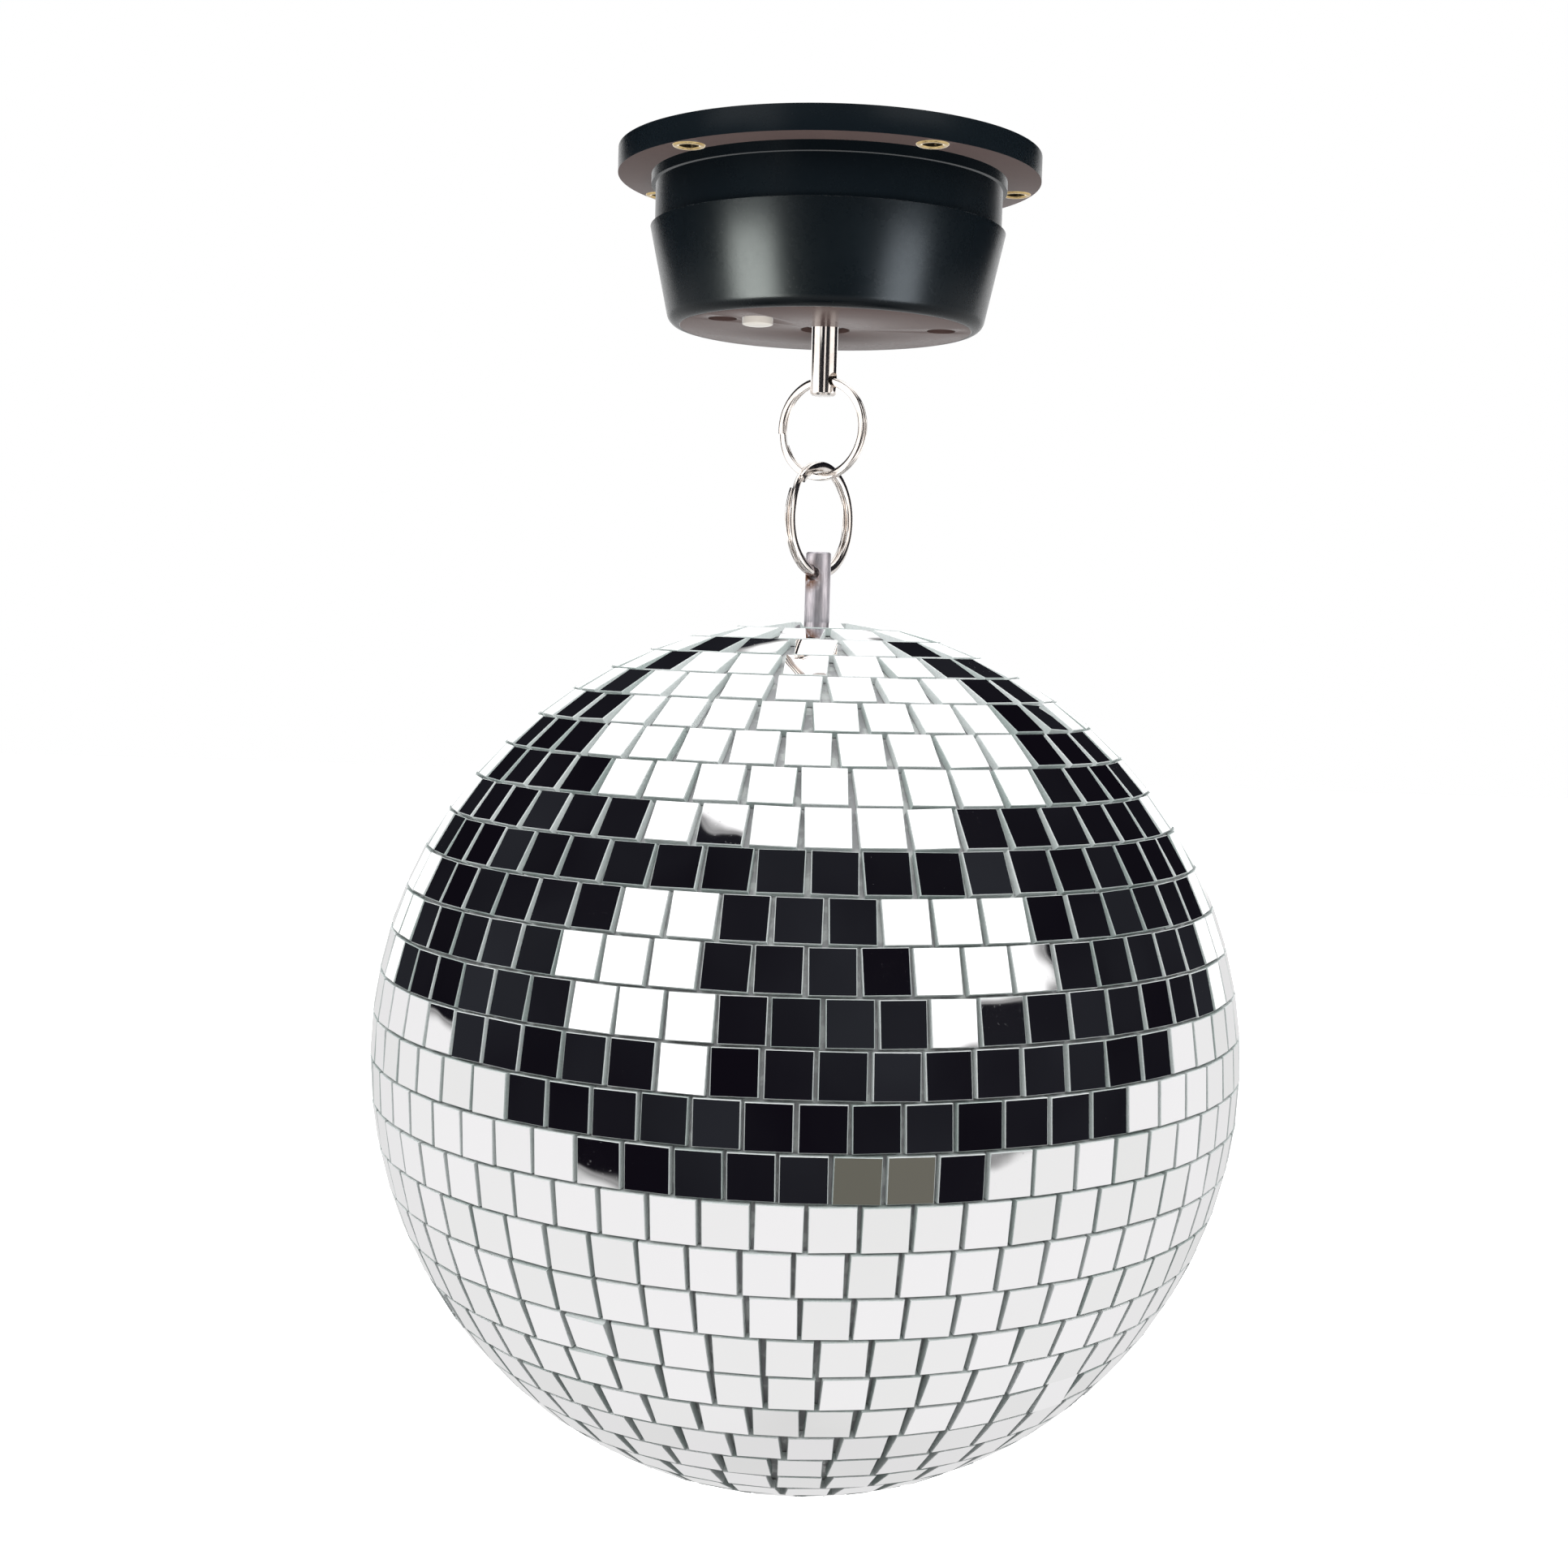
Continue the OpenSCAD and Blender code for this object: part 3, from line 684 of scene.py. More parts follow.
@dataclass
class MotorCase:
    """The flange, the cup, the plate and what fastens them."""

    rounding: float = 0.9 * MM
    flange_t: float = 5.5 * MM
    lip_h: float = 2.2 * MM
    neck_r: float = 39.4 * MM
    cup_top_r: float = 40.4 * MM
    cup_low_r: float = 36.3 * MM
    cup_edge_r: float = 2.9 * MM
    wall: float = 2.0 * MM
    plate_t: float = 2.2 * MM
    plate_r: float = 33.3 * MM
    bush_r: float = 5.75 * MM
    screw_angles: tuple[float, float] = (5.4, 149.7)
    screw_circle: float = 26.5 * MM
    screw_sink_r: float = 3.3 * MM
    screw_head_r: float = 2.3 * MM
    screw_head_t: float = 1.5 * MM
    button_r: float = 3.4 * MM
    fixing_count: int = 5
    fixing_first: float = 61.0
    fixing_circle: float = 44.0 * MM
    eyelet_bore: float = 2.2 * MM
    eyelet_r: float = 2.8 * MM
    eyelet_lip: float = 3.5 * MM
    fit: float = 0.05 * MM
    stem_r: float = 1.2 * MM
    button_collar_r: float = 4.1 * MM
    button_collar_t: float = 1.0 * MM
    button_travel: float = 1.5 * MM
    spring_wire: float = 0.5 * MM
    spring_coil_r: float = 2.0 * MM
    spring_turns: int = 5

    def at(self, angle: float, radius: float) -> tuple[float, float]:
        """Return a place at an angle counted from +X towards -Y."""
        turn = math.radians(angle)
        return radius * math.cos(turn), -radius * math.sin(turn)

    def fixings(self) -> list[tuple[float, float]]:
        """Return the places of the fixing holes."""
        step = 360 / self.fixing_count
        turns = [self.fixing_first + step * i for i in range(self.fixing_count)]
        return [self.at(turn, self.fixing_circle) for turn in turns]

    def flange(self) -> None:
        """Build the ceiling flange with its lip, neck and skirt."""
        low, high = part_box("ceiling_flange")
        flange_r = (high[0] - low[0]) / 2
        under, lip_z = -self.flange_t, -self.flange_t - self.lip_h
        neck_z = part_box("cup_housing")[1][2]
        skirt_r, bore_r = self.neck_r - 3 * MM, self.neck_r - 4.2 * MM
        piece = turned("flange_body", [
            (0, high[2]), (flange_r, high[2]), (flange_r, under), (self.neck_r + 1 * MM, under),
            (self.neck_r + 1 * MM, lip_z), (self.neck_r, lip_z), (self.neck_r, neck_z),
            (skirt_r, neck_z), (skirt_r, low[2]), (bore_r, low[2]), (bore_r, under), (0, under),
        ])
        for place in self.fixings():
            bored(piece, self.eyelet_r, (*place, under / 2), 4 * self.flange_t)
        soften(piece, self.rounding / 2, 3)
        dress(piece, HOUSING_BLACK, "housing", ["ceiling_flange"])
        self.add_painted_reflection_below(piece, under)

    def add_painted_reflection_below(self, piece: Piece, height: float) -> None:
        """Give the flange's flat underside the plate's glossier finish, with its brown-grey painted
        reflection of the floor.
        """
        # Second material: black plastic with a painted reflection of the floor in its brown-grey colour.
        piece.data.materials.append(PLATE_PAINTED_REFLECTION.material())
        for face in piece.data.polygons:
            if face.normal.z < -0.99 and abs(face.center.z - height) < 0.1 * MM:
                face.material_index = 1

    def eyelets(self) -> None:
        """Build the brass eyelets, each with a rolled lip."""
        under = -self.flange_t
        lip = self.eyelet_lip - self.eyelet_bore
        made = []
        for place in self.fixings():
            outline = [(self.eyelet_bore, -self.fit), (self.eyelet_r, -self.fit), (self.eyelet_r, under),
                       *arc((self.eyelet_bore + lip / 2, under), lip / 2, 0, -180, 8)]
            squashed = [(r, under + 0.62 * (z - under)) if z < under else (r, z) for r, z in outline]
            made.append(turned("eyelet", squashed, place, 40))
        piece = self.joined(made, "brass_eyelets")
        shade(piece)
        dress(piece, BRASS, "housing", ["fixing_eyelets"])

    def joined(self, pieces: list[Piece], name: str) -> Piece:
        """Join pieces into one."""
        choose(pieces[0])
        for other in pieces:
            other.select_set(True)
        bpy.ops.object.join()
        return settle(bpy.context.object, name)

    def cup(self) -> None:
        """Build the tapered cup with its rounded lower edge."""
        low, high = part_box("cup_housing")
        bottom, top = low[2], high[2]
        ledge_z = bottom + self.plate_t
        taper = math.degrees(math.atan2(self.cup_top_r - self.cup_low_r, top - bottom))
        round_at = (self.cup_low_r - self.cup_edge_r, bottom + self.cup_edge_r)
        piece = turned("cup_body", [
            (self.cup_top_r - self.wall, top), (self.cup_top_r, top),
            *arc(round_at, self.cup_edge_r, -taper, -90, 10),
            (self.plate_r + self.fit, bottom), (self.plate_r + self.fit, ledge_z),
            (self.plate_r - 2.7 * MM, ledge_z), (self.plate_r - 2.7 * MM, ledge_z + 1.8 * MM),
            (self.cup_low_r - self.wall, ledge_z + 1.8 * MM),
        ], facets=192)
        soften(piece, 0.25 * MM, 2)
        dress(piece, HOUSING_BLACK, "housing", ["cup_housing"])

    def plate(self) -> None:
        """Build the glossy bottom plate with its sunk holes."""
        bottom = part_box("bottom_plate")[0][2]
        piece = turned("cover_plate", [
            (self.bush_r, bottom), (self.plate_r - self.fit, bottom),
            (self.plate_r - self.fit, bottom + self.plate_t), (self.bush_r, bottom + self.plate_t),
        ], facets=192)
        for angle in self.screw_angles:
            bored(piece, self.screw_sink_r, (*self.at(angle, self.screw_circle), bottom), 3.6 * MM)
        button = middle("power_button")
        bored(piece, self.button_r + 0.2 * MM, (button.x, button.y, bottom), 4 * self.plate_t)
        soften(piece, 0.28 * MM, 3)
        # The plate's brown-grey colour is a painted reflection of the pale floor on black plastic.
        dress(piece, PLATE_PAINTED_REFLECTION, "housing", ["bottom_plate"])

    def screws(self) -> None:
        """Build the pan heads with their cross recesses."""
        head_z, shank_z = heights("plate_screws")
        dome_r = self.screw_head_r * 1.1
        made = []
        for angle, turn in zip(self.screw_angles, (30.0, 65.0)):
            place = self.at(angle, self.screw_circle)
            dome = arc((0, head_z + dome_r), dome_r, -90, -25, 8)
            piece = turned("screw", [
                *[(min(r, self.screw_head_r), z) for r, z in dome],
                (self.screw_head_r, head_z + self.screw_head_t), (self.stem_r, head_z + self.screw_head_t),
                (self.stem_r, shank_z), (0, shank_z),
            ], place, 48)
            for quarter in (0.0, 90.0):
                deselect()
                bpy.ops.mesh.primitive_cube_add(
                    size=1, scale=(2.9 * MM, 0.62 * MM, 1.6 * MM), location=(*place, head_z),
                    rotation=(0, 0, math.radians(turn + quarter)))
                cut_away(piece, bpy.context.object)
            made.append(piece)
        piece = self.joined(made, "cross_screws")
        soften(piece, 0.08 * MM, 2)
        dress(piece, SCREW_STEEL, "housing", ["plate_screws"])

    def bush(self) -> None:
        """Build the sunk black bush round the shaft."""
        low_z, high_z = heights("shaft_bush")
        bore, body_r, collar_r = reach("output_shaft") + 0.08 * MM, self.bush_r - self.fit, 7.4 * MM
        shoulder_z, collar_z = low_z + 0.5 * MM, high_z - 0.6 * MM
        piece = turned("sunk_bush", [
            (bore, low_z), (self.bush_r - 0.9 * MM, low_z), (self.bush_r - 0.6 * MM, shoulder_z),
            (body_r, shoulder_z), (body_r, collar_z), (collar_r, collar_z), (collar_r, high_z),
            (bore, high_z),
        ], facets=96)
        soften(piece, 0.12 * MM, 2)
        dress(piece, HOUSING_BLACK, "housing", ["shaft_bush"])

    def button(self) -> None:
        """Build the domed push button with its collar and stem."""
        low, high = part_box("power_button")
        centre = middle("power_button")
        collar_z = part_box("bottom_plate")[0][2] + self.plate_t
        crown = 0.5 * MM
        piece = turned("push_button", [
            *[(self.button_r * math.sin(a), low[2] + crown * (1 - math.cos(a)))
              for a in [math.radians(9 * i) for i in range(11)]],
            (self.button_r, collar_z), (self.button_collar_r, collar_z),
            (self.button_collar_r, collar_z + self.button_collar_t),
            (self.stem_r, collar_z + self.button_collar_t), (self.stem_r, high[2]), (0, high[2]),
        ], (centre.x, centre.y), 64)
        soften(piece, 0.15 * MM, 2, 60)
        dress(piece, CREAM, "button", ["power_button"])

    def spring(self) -> None:
        """Wind the button's return spring at its rest length; it does not shorten with the button here."""
        low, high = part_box("button_spring")
        wire, centre = self.spring_wire, middle("power_button")
        length = high[2] - low[2]
        deselect()
        bpy.ops.mesh.primitive_circle_add(vertices=12, radius=wire / 2, rotation=(math.pi / 2, 0, 0),
                                          location=(self.spring_coil_r, 0, 0))
        piece = settle(bpy.context.object, "return_spring")
        pitch = (length - wire) / self.spring_turns
        modified(piece, "SCREW", angle=math.tau, screw_offset=pitch, iterations=self.spring_turns,
                 steps=32, render_steps=32, axis="Z", use_smooth_shade=True)
        close_ends(piece)
        piece.data.transform(Matrix.Translation((centre.x, centre.y, low[2] + wire / 2)))
        shade(piece, 50.0)
        dress(piece, STEEL, "housing", ["button_spring"])
        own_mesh(piece)

    def works(self) -> None:
        """Finish the works inside, which keep their CAD shapes."""
        repaint(NYLON, "output_gear", "gear_frame", "frame_pillars", "idler_gear_1", "idler_gear_2")
        repaint(STEEL, "retaining_clip", "idler_axles", "motor_can", "motor_rotor", "battery_cells",
                "contact_springs", "contact_plates", "inner_plate", "post_nut")
        repaint(BRASS, "upper_bush", "thrust_washer", "rotor_pinion")
        repaint(HOUSING_BLACK, "battery_tray", "switch_body")
        repaint(INSULATION, "inner_leads")

    def build(self) -> None:
        """Build and finish the whole case."""
        for step in (self.flange, self.eyelets, self.cup, self.plate, self.screws, self.bush,
                     self.button, self.spring, self.works):
            step()


# Shaft, rings and post


@dataclass
class SplitRing:
    """A ring of two turns of flattened wire, lying side by side."""

    name: str
    node: str
    body: str
    axis: Axis
    wire: float
    start: float
    sides: int = 16
    steps: int = 96
    wound: float = 704.0
    cross_from: float = 322.0
    cross_over: float = 60.0

    def build(self) -> None:
        """Wind the wire, close its ends and stand the ring in its place."""
        low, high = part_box(self.node)
        radius = (high[2] - low[2]) / 2 - self.wire / 2
        deselect()
        bpy.ops.mesh.primitive_circle_add(vertices=self.sides, radius=self.wire / 2,
                                          location=(radius, 0, 0), rotation=(math.pi / 2, 0, 0))
        piece = settle(bpy.context.object, self.name)
        with editing(piece):
            bpy.ops.transform.resize(value=(1, 1, 0.5), center_override=(radius, 0, 0))
            bpy.ops.transform.translate(value=(0, 0, -self.wire / 4))
        modified(piece, "SCREW", angle=math.radians(self.wound), screw_offset=0.0, iterations=1,
                 steps=2 * self.steps, render_steps=2 * self.steps, axis="Z", use_smooth_shade=True)
        self.part_turns(piece)
        close_ends(piece)
        piece.data.transform(Matrix.Translation(middle(self.node)) @ self.upright())
        shade(piece, 50.0)
        dress(piece, CHROME, self.body, [self.node])

    def part_turns(self, piece: Piece) -> None:
        """Step the wire over to the other side near the split, and lie flat elsewhere."""
        for point in piece.data.vertices:
            turned_by = self.wound * (point.index // self.sides) / (2 * self.steps)
            across = min(max((turned_by - self.cross_from) / self.cross_over, 0.0), 1.0)
            point.co.z += self.wire / 2 * (3 * across ** 2 - 2 * across ** 3)

    def upright(self) -> Matrix:
        """Return the turn that stands the ring in the plane of its axis and +Z."""
        along = Vector(self.axis.value)
        normal = along.cross(Vector((0, 0, 1)))
        stand = Matrix((along, (0, 0, 1), normal)).transposed().to_4x4()
        return stand @ Matrix.Rotation(math.radians(self.start), 4, "Z")


@dataclass
class HangingGear:
    """The shaft, both split rings and the post on the ball."""

    hole_r: float = 1.8 * MM
    shaft_tip: float = 3.4 * MM
    post_tip: float = 4.8 * MM
    stud_r: float = 2.0 * MM
    shaft_bevel: float = 0.5 * MM
    shaft_pin_r: float = 1.2 * MM
    post_bevel: float = 0.35 * MM

    def shaft(self) -> None:
        """Build the chrome shaft with its chamfered end and cross hole."""
        low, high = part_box("output_shaft")
        radius = (high[0] - low[0]) / 2
        gear_z, gear_top = heights("output_gear")
        piece = turned("drive_shaft", [
            (0, low[2]), (radius - self.shaft_bevel, low[2]), (radius, low[2] + self.shaft_bevel),
            (radius, gear_z), (self.stud_r, gear_z), (self.stud_r, gear_top), (self.shaft_pin_r, gear_top),
            (self.shaft_pin_r, high[2]), (0, high[2]),
        ], facets=96)
        bored(piece, self.hole_r, (0, 0, low[2] + self.shaft_tip), 4 * radius, Axis.ALONG_MOTOR_RING)
        soften(piece, 0.14 * MM, 3)
        dress(piece, CHROME, "shaft", ["output_shaft"])

    def post(self) -> None:
        """Build the zinc post, stained brown round its hole."""
        low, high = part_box("hanger_post")
        radius = (high[0] - low[0]) / 2
        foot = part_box("post_collar")[1][2]
        hole = (0, 0, high[2] - self.post_tip)
        piece = turned("zinc_post", [
            (0, low[2]), (self.stud_r, low[2]), (self.stud_r, foot), (radius, foot),
            (radius, high[2] - self.post_bevel), (radius - self.post_bevel, high[2]), (0, high[2]),
        ], facets=96)
        bored(piece, self.hole_r, hole, 4 * radius, Axis.ALONG_BALL_RING)
        soften(piece, 0.14 * MM, 3)
        rim = Vector(hole) - radius * Vector(Axis.ALONG_BALL_RING.value)
        stain = rim - Vector((1.2 * MM, 0, 0.8 * MM))
        finish = StainedZinc("stained_zinc", "zinc_post", stain_at=tuple(stain))
        dress(piece, finish, "ball", ["hanger_post"])

    def collar(self) -> None:
        """Build the washer at the post's foot, dished to the ball."""
        low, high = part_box("post_collar")
        outer = (high[0] - low[0]) / 2
        inner = self.stud_r + 0.05 * MM
        piece = turned("dished_collar", [
            (inner, low[2]), (outer, low[2]), (outer, low[2] + 0.35 * MM), (outer - 0.8 * MM, high[2]),
            (inner, high[2]),
        ], facets=72)
        soften(piece, 0.12 * MM, 2)
        clean = StainedZinc("collar_zinc", "zinc_post", stain_at=(0.0, 0.0, 1.0))
        dress(piece, clean, "ball", ["post_collar"])

    def build(self) -> None:
        """Build everything between the motor and the ball."""
        self.shaft()
        SplitRing("upper_split_ring", "motor_ring", "upper_link", Axis.ALONG_MOTOR_RING,
                  wire=1.8 * MM, start=200.0).build()
        SplitRing("lower_split_ring", "ball_ring", "lower_link", Axis.ALONG_BALL_RING,
                  wire=2.2 * MM, start=150.0).build()
        self.post()
        self.collar()


# The mirrors


@dataclass
class MirrorCoat:
    """The rows of small square mirrors on the ball."""

    rows: int = 32
    rows_per_band: int = 2
    tile_w: float = 9.2 * MM
    tile_t: float = 1.8 * MM
    chamfer: float = 0.13 * MM
    row_turn: float = 137.5
    pole_pull: float = 0.36
    tilt: float = 0.42
    odd_share: float = 0.03
    odd_tilt: float = 2.6
    twist: float = 0.5
    shift: float = 0.10 * MM
    bedding: float = 0.05 * MM
    seed: int = 20
    dice: random.Random = field(init=False)

    def __post_init__(self) -> None:
        """Work out the ball's size and place from the frame."""
        lows, highs = zip(*[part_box(name) for name in frame["nodes"] if name.startswith("mirror_band")])
        width = max(high[0] for high in highs) - min(low[0] for low in lows)
        self.ball_r = width / 2
        self.face_r = math.sqrt(self.ball_r ** 2 - self.tile_w ** 2 / 2)
        self.centre = Vector((0, 0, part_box("ball_core_lower")[1][2]))
        self.dice = random.Random(self.seed)

    def square(self) -> Piece:
        """Model one mirror: a cut square with a ground front edge."""
        deselect()
        bpy.ops.mesh.primitive_cube_add(size=1, scale=(self.tile_w, self.tile_w, self.tile_t),
                                        location=(0, 0, self.face_r - self.tile_t / 2))
        piece = settle(bpy.context.object, "one_mirror")
        bpy.ops.object.mode_set(mode="EDIT")
        bpy.ops.mesh.select_mode(type="EDGE")
        bpy.ops.mesh.select_all(action="DESELECT")
        bpy.ops.object.mode_set(mode="OBJECT")
        middle_z = self.face_r - self.tile_t / 2
        for edge in piece.data.edges:
            edge.select = all(piece.data.vertices[v].co.z > middle_z for v in edge.vertices)
        bpy.ops.object.mode_set(mode="EDIT")
        bpy.ops.mesh.bevel(offset=self.chamfer, segments=1)
        bpy.ops.object.mode_set(mode="OBJECT")
        piece.data.materials.append(MIRROR.material())
        piece.data.materials.append(GLASS_EDGE.material())
        for face in piece.data.polygons:
            face.material_index = 0 if face.normal.z > 0.9 else 1
        piece.data.attributes.new("tone", "FLOAT", "POINT")
        return piece

    def count(self, row: int) -> int:
        """Return how many mirrors fit in a row, at its edge nearer to a pole."""
        edge = math.radians(min(row - 1, self.rows - row) * 180 / self.rows)
        pitch = math.pi * self.face_r / self.rows
        return max(1, math.floor(2 * math.pi * (self.face_r - self.tile_t) * math.sin(edge) / pitch))

    def polar(self, row: int) -> float:
        """Return a row's angle from the top of the ball, in degrees."""
        if row == self.rows:
            return 180.0
        step = 180 / self.rows
        mid = (row - 0.5) * step
        pull = self.pole_pull * (math.sin(math.radians(1.5 * step)) / math.sin(math.radians(mid))) ** 2
        return mid - pull if mid < 90 else mid + pull

    def wobble(self) -> Matrix:
        """Return one mirror's small error of place and tilt about its own back."""
        spread = self.odd_tilt if self.dice.random() < self.odd_share else self.tilt
        pivot = Matrix.Translation((0, 0, self.face_r - self.tile_t))
        tilt = Matrix.Rotation(math.radians(self.dice.gauss(0, spread)), 4, "X")
        lean = Matrix.Rotation(math.radians(self.dice.gauss(0, spread)), 4, "Y")
        twist = Matrix.Rotation(math.radians(self.dice.gauss(0, self.twist)), 4, "Z")
        slip = Matrix.Translation((self.dice.uniform(-self.shift, self.shift),
                                   self.dice.uniform(-self.shift, self.shift), -self.bedding))
        return pivot @ slip @ twist @ lean @ tilt @ pivot.inverted()

    def place(self, polar: float, turn: float) -> Matrix:
        """Return where a mirror goes on the ball."""
        return (Matrix.Translation(self.centre) @ Matrix.Rotation(math.radians(turn), 4, "Z")
                @ Matrix.Rotation(math.radians(polar), 4, "Y") @ self.wobble())

    def copy(self, master: Piece, where: Matrix, tone: float) -> Piece:
        """Copy the mirror with its own mesh, set it in place and give it its tone."""
        made = master.copy()
        made.data = master.data.copy()
        made.data.transform(where)
        made.data.attributes["tone"].data.foreach_set("value", [tone] * len(made.data.vertices))
        bpy.context.collection.objects.link(made)
        return made

    def band(self, number: int, master: Piece) -> None:
        """Lay the rows of one band and join them into one piece.

        Args:
            number: The band's number, from the top.
            master: The mirror to copy.
        """
        first = 2 + (number - 1) * self.rows_per_band
        made = []
        for row in range(first, min(first + self.rows_per_band, self.rows + 1)):
            count = self.count(row)
            for i in range(count):
                where = self.place(self.polar(row), row * self.row_turn + 360 * i / count)
                tone = self.dice.random() ** 2
                made.append(self.copy(master, where, tone))
        choose(made[0])
        for piece in made:
            piece.select_set(True)
        bpy.ops.object.join()
        piece = bpy.context.object
        piece.name = piece.data.name = f"mirror_squares_{number:02d}"
        register(piece, "ball", [f"mirror_band_{number:02d}"])

    def build(self) -> None:
        """Lay every band and finish the ball under them."""
        master = self.square()
        bands = math.ceil((self.rows - 1) / self.rows_per_band)
        for number in range(1, bands + 1):
            self.band(number, master)
        bpy.data.objects.remove(master, do_unlink=True)
        repaint(CORE, "ball_core_upper", "ball_core_lower", "seam_ring")


# The studio


@dataclass(frozen=True)
class SoftBox:
    """A white panel of the studio, given in degrees as seen from the ball."""

    left: float
    right: float
    low: float
    top: float
    slope: float = 0.0

    def shown(self, turn: Socket, rise: Socket, blur: float) -> Socket:
        """Return 1 inside the panel and 0 outside, with edges blur wide."""
        above = rise - (self.slope * turn + self.top)
        upright = turn.band(self.left, self.right, blur)
        return upright * rise.step_up(self.low, self.low + blur) * (1 - above.step_up(0.0, blur))


@dataclass
class Studio:
    """The camera, the floor and the light."""

    distance: float = 475 * MM
    above_ball: float = 97 * MM
    aim_x: float = -6.5 * MM
    aim_z: float = -143.2 * MM
    roll: float = 1.6
    lens: float = 47.0
    floor_z: float = -0.46
    floor_size: float = 9.0
    light_z: float = -0.32
    blur: float = 0.5
    seen_in_mirrors: Sequence[str] = ("drive_shaft",)
    motor_low_z: float = -0.045
    roof_edge_mid: float = 51.4
    roof_edge_fall: float = 13.8
    roof_edge_square: float = 2.6
    roof_edge_lean: float = 1.5
    floor_edge_back: float = -2.0
    floor_edge_dip: float = 26.0
    floor_dip_turns: tuple[float, float] = (15.0, 115.0)
    soft_boxes: Sequence[SoftBox] = (
        SoftBox(left=-67.0, right=-26.0, low=9.0, top=56.5, slope=0.26),
        SoftBox(left=-38.0, right=-25.0, low=1.0, top=11.5),
        SoftBox(left=24.0, right=66.0, low=14.5, top=56.5, slope=-0.21))
    box_glow: float = 1.5
    roof_glow: float = 1.45
    front_glow: float = 2.6
    back_glow: float = 1.35
    back_turn: float = 131.0
    back_lean: float = 1.7
    light_aim_z: float = -0.03
    light_circle: float = 1.1
    under_z: float = -1.1

    def camera(self) -> None:
        """Place the camera level with the ball's upper half, rolled a little."""
        ball_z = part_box("ball_core_lower")[1][2]
        where = Vector((0, -self.distance, ball_z + self.above_ball))
        aim = Vector((self.aim_x, 0, self.aim_z))
        data = bpy.data.cameras.new("camera")
        data.lens = self.lens
        data.clip_start = 0.01
        data.clip_end = 50
        camera = bpy.data.objects.new("camera", data)
        facing = (aim - where).to_track_quat("-Z", "Y").to_matrix().to_4x4()
        rolled = Matrix.Rotation(math.radians(self.roll), 4, "Z")
        camera.matrix_world = Matrix.Translation(where) @ facing @ rolled
        bpy.context.collection.objects.link(camera)
        bpy.context.scene.camera = camera

    def floor(self) -> None:
        """Lay the plain pale floor well below the ball."""
        deselect()
        bpy.ops.mesh.primitive_plane_add(size=self.floor_size, location=(0, 0, self.floor_z))
        piece = settle(bpy.context.object, "floor")
        piece.data.materials.append(PaleFloor("pale_floor", "none").material())
        piece.visible_glossy = False
        piece.visible_diffuse = False
        piece.visible_shadow = False

    def room(self) -> None:
        """Paint the studio that the mirrors show: white roof, backdrop and floor, dark between."""
        world = bpy.data.worlds.new("studio")
        bpy.context.scene.world = world
        shader = Shader(world)
        look = shader.node("ShaderNodeTexCoord", output="Generated")
        split = shader.node("ShaderNodeSeparateXYZ", {}, {0: look}).link.node
        x, y, z = [Socket(shader, output) for output in split.outputs]
        turn = x.arctan2(y * -1.0) * math.degrees(1)
        rise = z.arcsine() * math.degrees(1)
        soft = shader.node("ShaderNodeLightPath", output="Is Diffuse Ray")
        seen = shader.node("ShaderNodeLightPath", output="Is Camera Ray")
        white = self.white_zone(turn, rise, soft)
        grey = turn.band(6.0, 32.0, 0.5) * rise.band(-28.0, -17.6, 0.5)
        uneven = shader.noise(2.6, 4.0, look).step_up(0.35, 0.8)
        dark = shader.mix(uneven, (0.005, 0.004, 0.007), (0.026, 0.028, 0.034))
        dark = shader.mix(grey, dark, (0.150, 0.145, 0.120))
        colour = shader.mix(white.step_up(0.0, 0.3), dark, (1.0, 1.0, 1.0))
        shown = shader.mix(seen, colour, (1.0, 1.0, 1.0))
        strength = seen + (1 - seen) * (white + (1 - white.step_up(0.0, 0.3)))
        light = shader.node("ShaderNodeBackground", {}, {"Color": shown, "Strength": strength})
        shader.node("ShaderNodeOutputWorld", {}, {"Surface": light})

    def roof_edge(self, turn: Socket) -> Socket:
        """Return the height of the roof's edge: high in front, lower behind, a little lopsided."""
        angle = turn * math.radians(1)
        across = angle.cosine()
        square = self.roof_edge_square * (1 - 2 * across * across)
        level = self.roof_edge_mid + self.roof_edge_fall * across + square
        return level - self.roof_edge_lean * angle.sine()

    def floor_edge(self, side: Socket) -> Socket:
        """Return the height of the white floor's edge, which dips in front."""
        return self.floor_edge_back - self.floor_edge_dip * (1 - side.step_up(*self.floor_dip_turns))

    def white_zone(self, turn: Socket, rise: Socket, soft: Socket) -> Socket:
        """Return how white the studio is in a direction.

        Args:
            turn: Direction round the room, 0 behind the camera and positive to the right, in degrees.
            rise: Height above the horizon, in degrees.
            soft: 1 for rays that only add soft light; the front then glows and the floor is dimmer.

        Returns:
            The brightness, where 1 is white and 0 leaves the dark part of the room.
        """
        side = turn.size()
        sharp = self.blur
        roof = (rise - self.roof_edge(turn)).step_up(0.0, sharp) * (self.roof_glow - 0.85 * soft)
        back_edge = self.back_turn + self.back_lean * rise.largest(0.0)
        back = (side - back_edge).step_up(0.0, sharp) * rise.step_up(-6.0, -2.0) * self.back_glow
        floor_glow = 0.93 - 0.14 * side.step_up(110.0, 160.0) - 0.78 * soft
        floor = (1 - (rise - self.floor_edge(side)).step_up(0.0, sharp)) * floor_glow
        front = soft * rise.step_up(8.0, 28.0) * (1 - rise.step_up(55.0, 68.0)) * self.front_glow
        boxes = [box.shown(turn, rise, sharp) for box in self.soft_boxes]
        lit = boxes[0].largest(boxes[1]).largest(boxes[2]) * self.box_glow
        return roof.largest(back).largest(lit).largest(floor).largest(front)

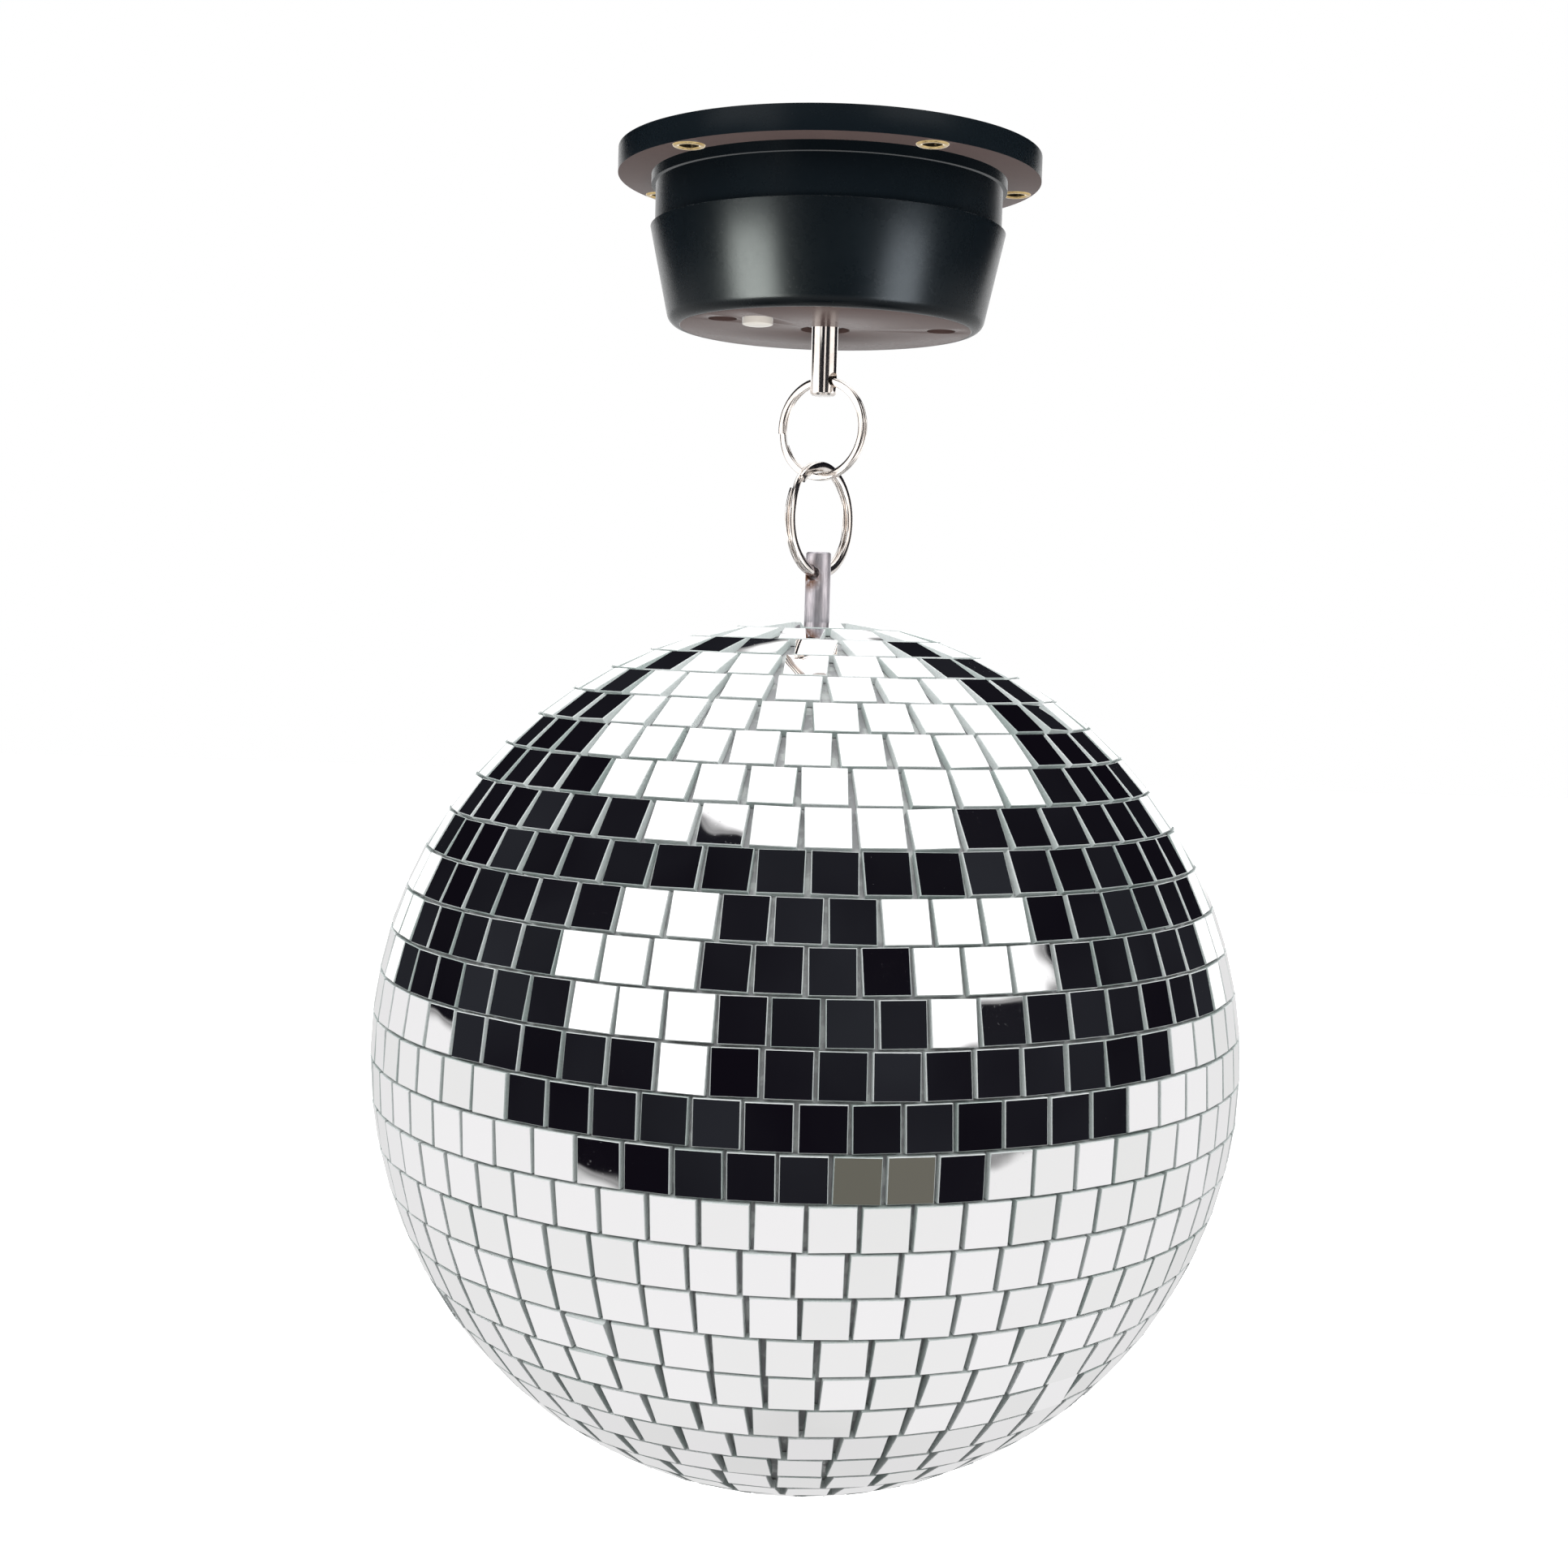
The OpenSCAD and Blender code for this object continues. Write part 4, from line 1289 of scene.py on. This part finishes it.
    def strip(self, name: str, turn: float, size: tuple[float, float], glow: float,
              receivers: bpy.types.Collection, colour: Colour = (1.0, 1.0, 1.0),
              height: float | None = None, sheen_only: bool = False) -> None:
        """Stand a soft light beside the camera.

        Args:
            name: The light's name.
            turn: Its direction from the camera's side, positive to the right, in degrees.
            size: Its width and height in metres.
            glow: Its brightness, where 1 is white.
            receivers: The pieces that it lights.
            colour: Its colour.
            height: Its height; the studio's usual one if left out.
            sheen_only: Whether it shows only as a sheen, and lights nothing softly.
        """
        data = bpy.data.lights.new(name, "AREA")
        data.shape = "RECTANGLE"
        data.size, data.size_y = size
        data.energy = glow * math.pi * size[0] * size[1]
        data.color = colour
        light = bpy.data.objects.new(name, data)
        angle = math.radians(turn)
        aim = Vector((0, 0, self.light_aim_z))
        level = self.light_z if height is None else height
        where = Vector((self.light_circle * math.sin(angle), -self.light_circle * math.cos(angle), level))
        facing = (aim - where).to_track_quat("-Z", "Y").to_matrix().to_4x4()
        light.matrix_world = Matrix.Translation(where) @ facing
        bpy.context.collection.objects.link(light)
        light.light_linking.receiver_collection = receivers
        light.visible_diffuse = not sheen_only

    def only(self, name: str, *pieces: str) -> bpy.types.Collection:
        """Return a collection of pieces for a light to be linked to."""
        made = bpy.data.collections.new(name)
        for piece in pieces:
            made.objects.link(bpy.data.objects[piece])
        return made

    def lights(self) -> None:
        """Add the strips that shape the housing, and those that shape the bright metal."""
        cup = self.only("cup_pieces", "cup_body")
        self.strip("left_strip", -51.0, (0.62, 0.80), 37.0, cup, (0.94, 1.0, 0.94), sheen_only=True)
        self.strip("right_strip", 53.0, (0.52, 0.80), 16.0, cup, (0.86, 0.94, 1.0), sheen_only=True)
        bright = self.only("bright_pieces", "drive_shaft", "upper_split_ring", "lower_split_ring",
                           "zinc_post", "dished_collar")
        warm = (1.0, 0.96, 0.93)
        self.strip("left_glint", -72.0, (1.3, 1.4), 1.5, bright, warm)
        self.strip("front_glint", 6.0, (0.22, 1.4), 1.3, bright, warm)
        self.strip("right_glint", 70.0, (1.1, 1.4), 1.3, bright, warm)
        under = self.only("under_pieces", "cover_plate", "flange_body")
        button = self.only("button_pieces", "push_button")
        self.strip("under_fill", 0.0, (0.8, 0.6), 7.5, under, (1.0, 0.86, 0.82), height=self.under_z)
        self.strip("button_fill", 0.0, (0.8, 0.6), 10.0, button, warm, height=self.under_z)

    def keep_out_of_mirrors(self) -> None:
        """Keep the motor out of the mirrors' reflections, so that they show the studio alone."""
        for piece in bpy.data.objects:
            if piece.type == "MESH" and piece.name not in self.seen_in_mirrors:
                lowest = min((piece.matrix_world @ Vector(corner)).z for corner in piece.bound_box)
                piece.visible_glossy = piece.visible_glossy and lowest < self.motor_low_z

    def build(self) -> None:
        """Set the whole stage."""
        self.camera()
        self.floor()
        self.room()
        self.lights()
        self.keep_out_of_mirrors()
        scene = bpy.context.scene
        scene.view_settings.view_transform = "Standard"
        scene.view_settings.look = "None"


def write_sizes() -> None:
    """Update the view layer once every piece is built."""
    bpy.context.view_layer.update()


def main() -> None:
    """Build every sub-assembly in order, then the stage."""
    logging.basicConfig(level=logging.INFO, format="%(name)s: %(message)s")
    builders: list[tuple[str, Callable[[], None]]] = [
        ("motor case", MotorCase().build),
        ("shaft, rings and post", HangingGear().build),
        ("mirrors", MirrorCoat().build),
        ("studio", Studio().build),
    ]
    for name, build in builders:
        log.info("building the %s", name)
        build()
    write_sizes()


if __name__ == "__main__":
    main()
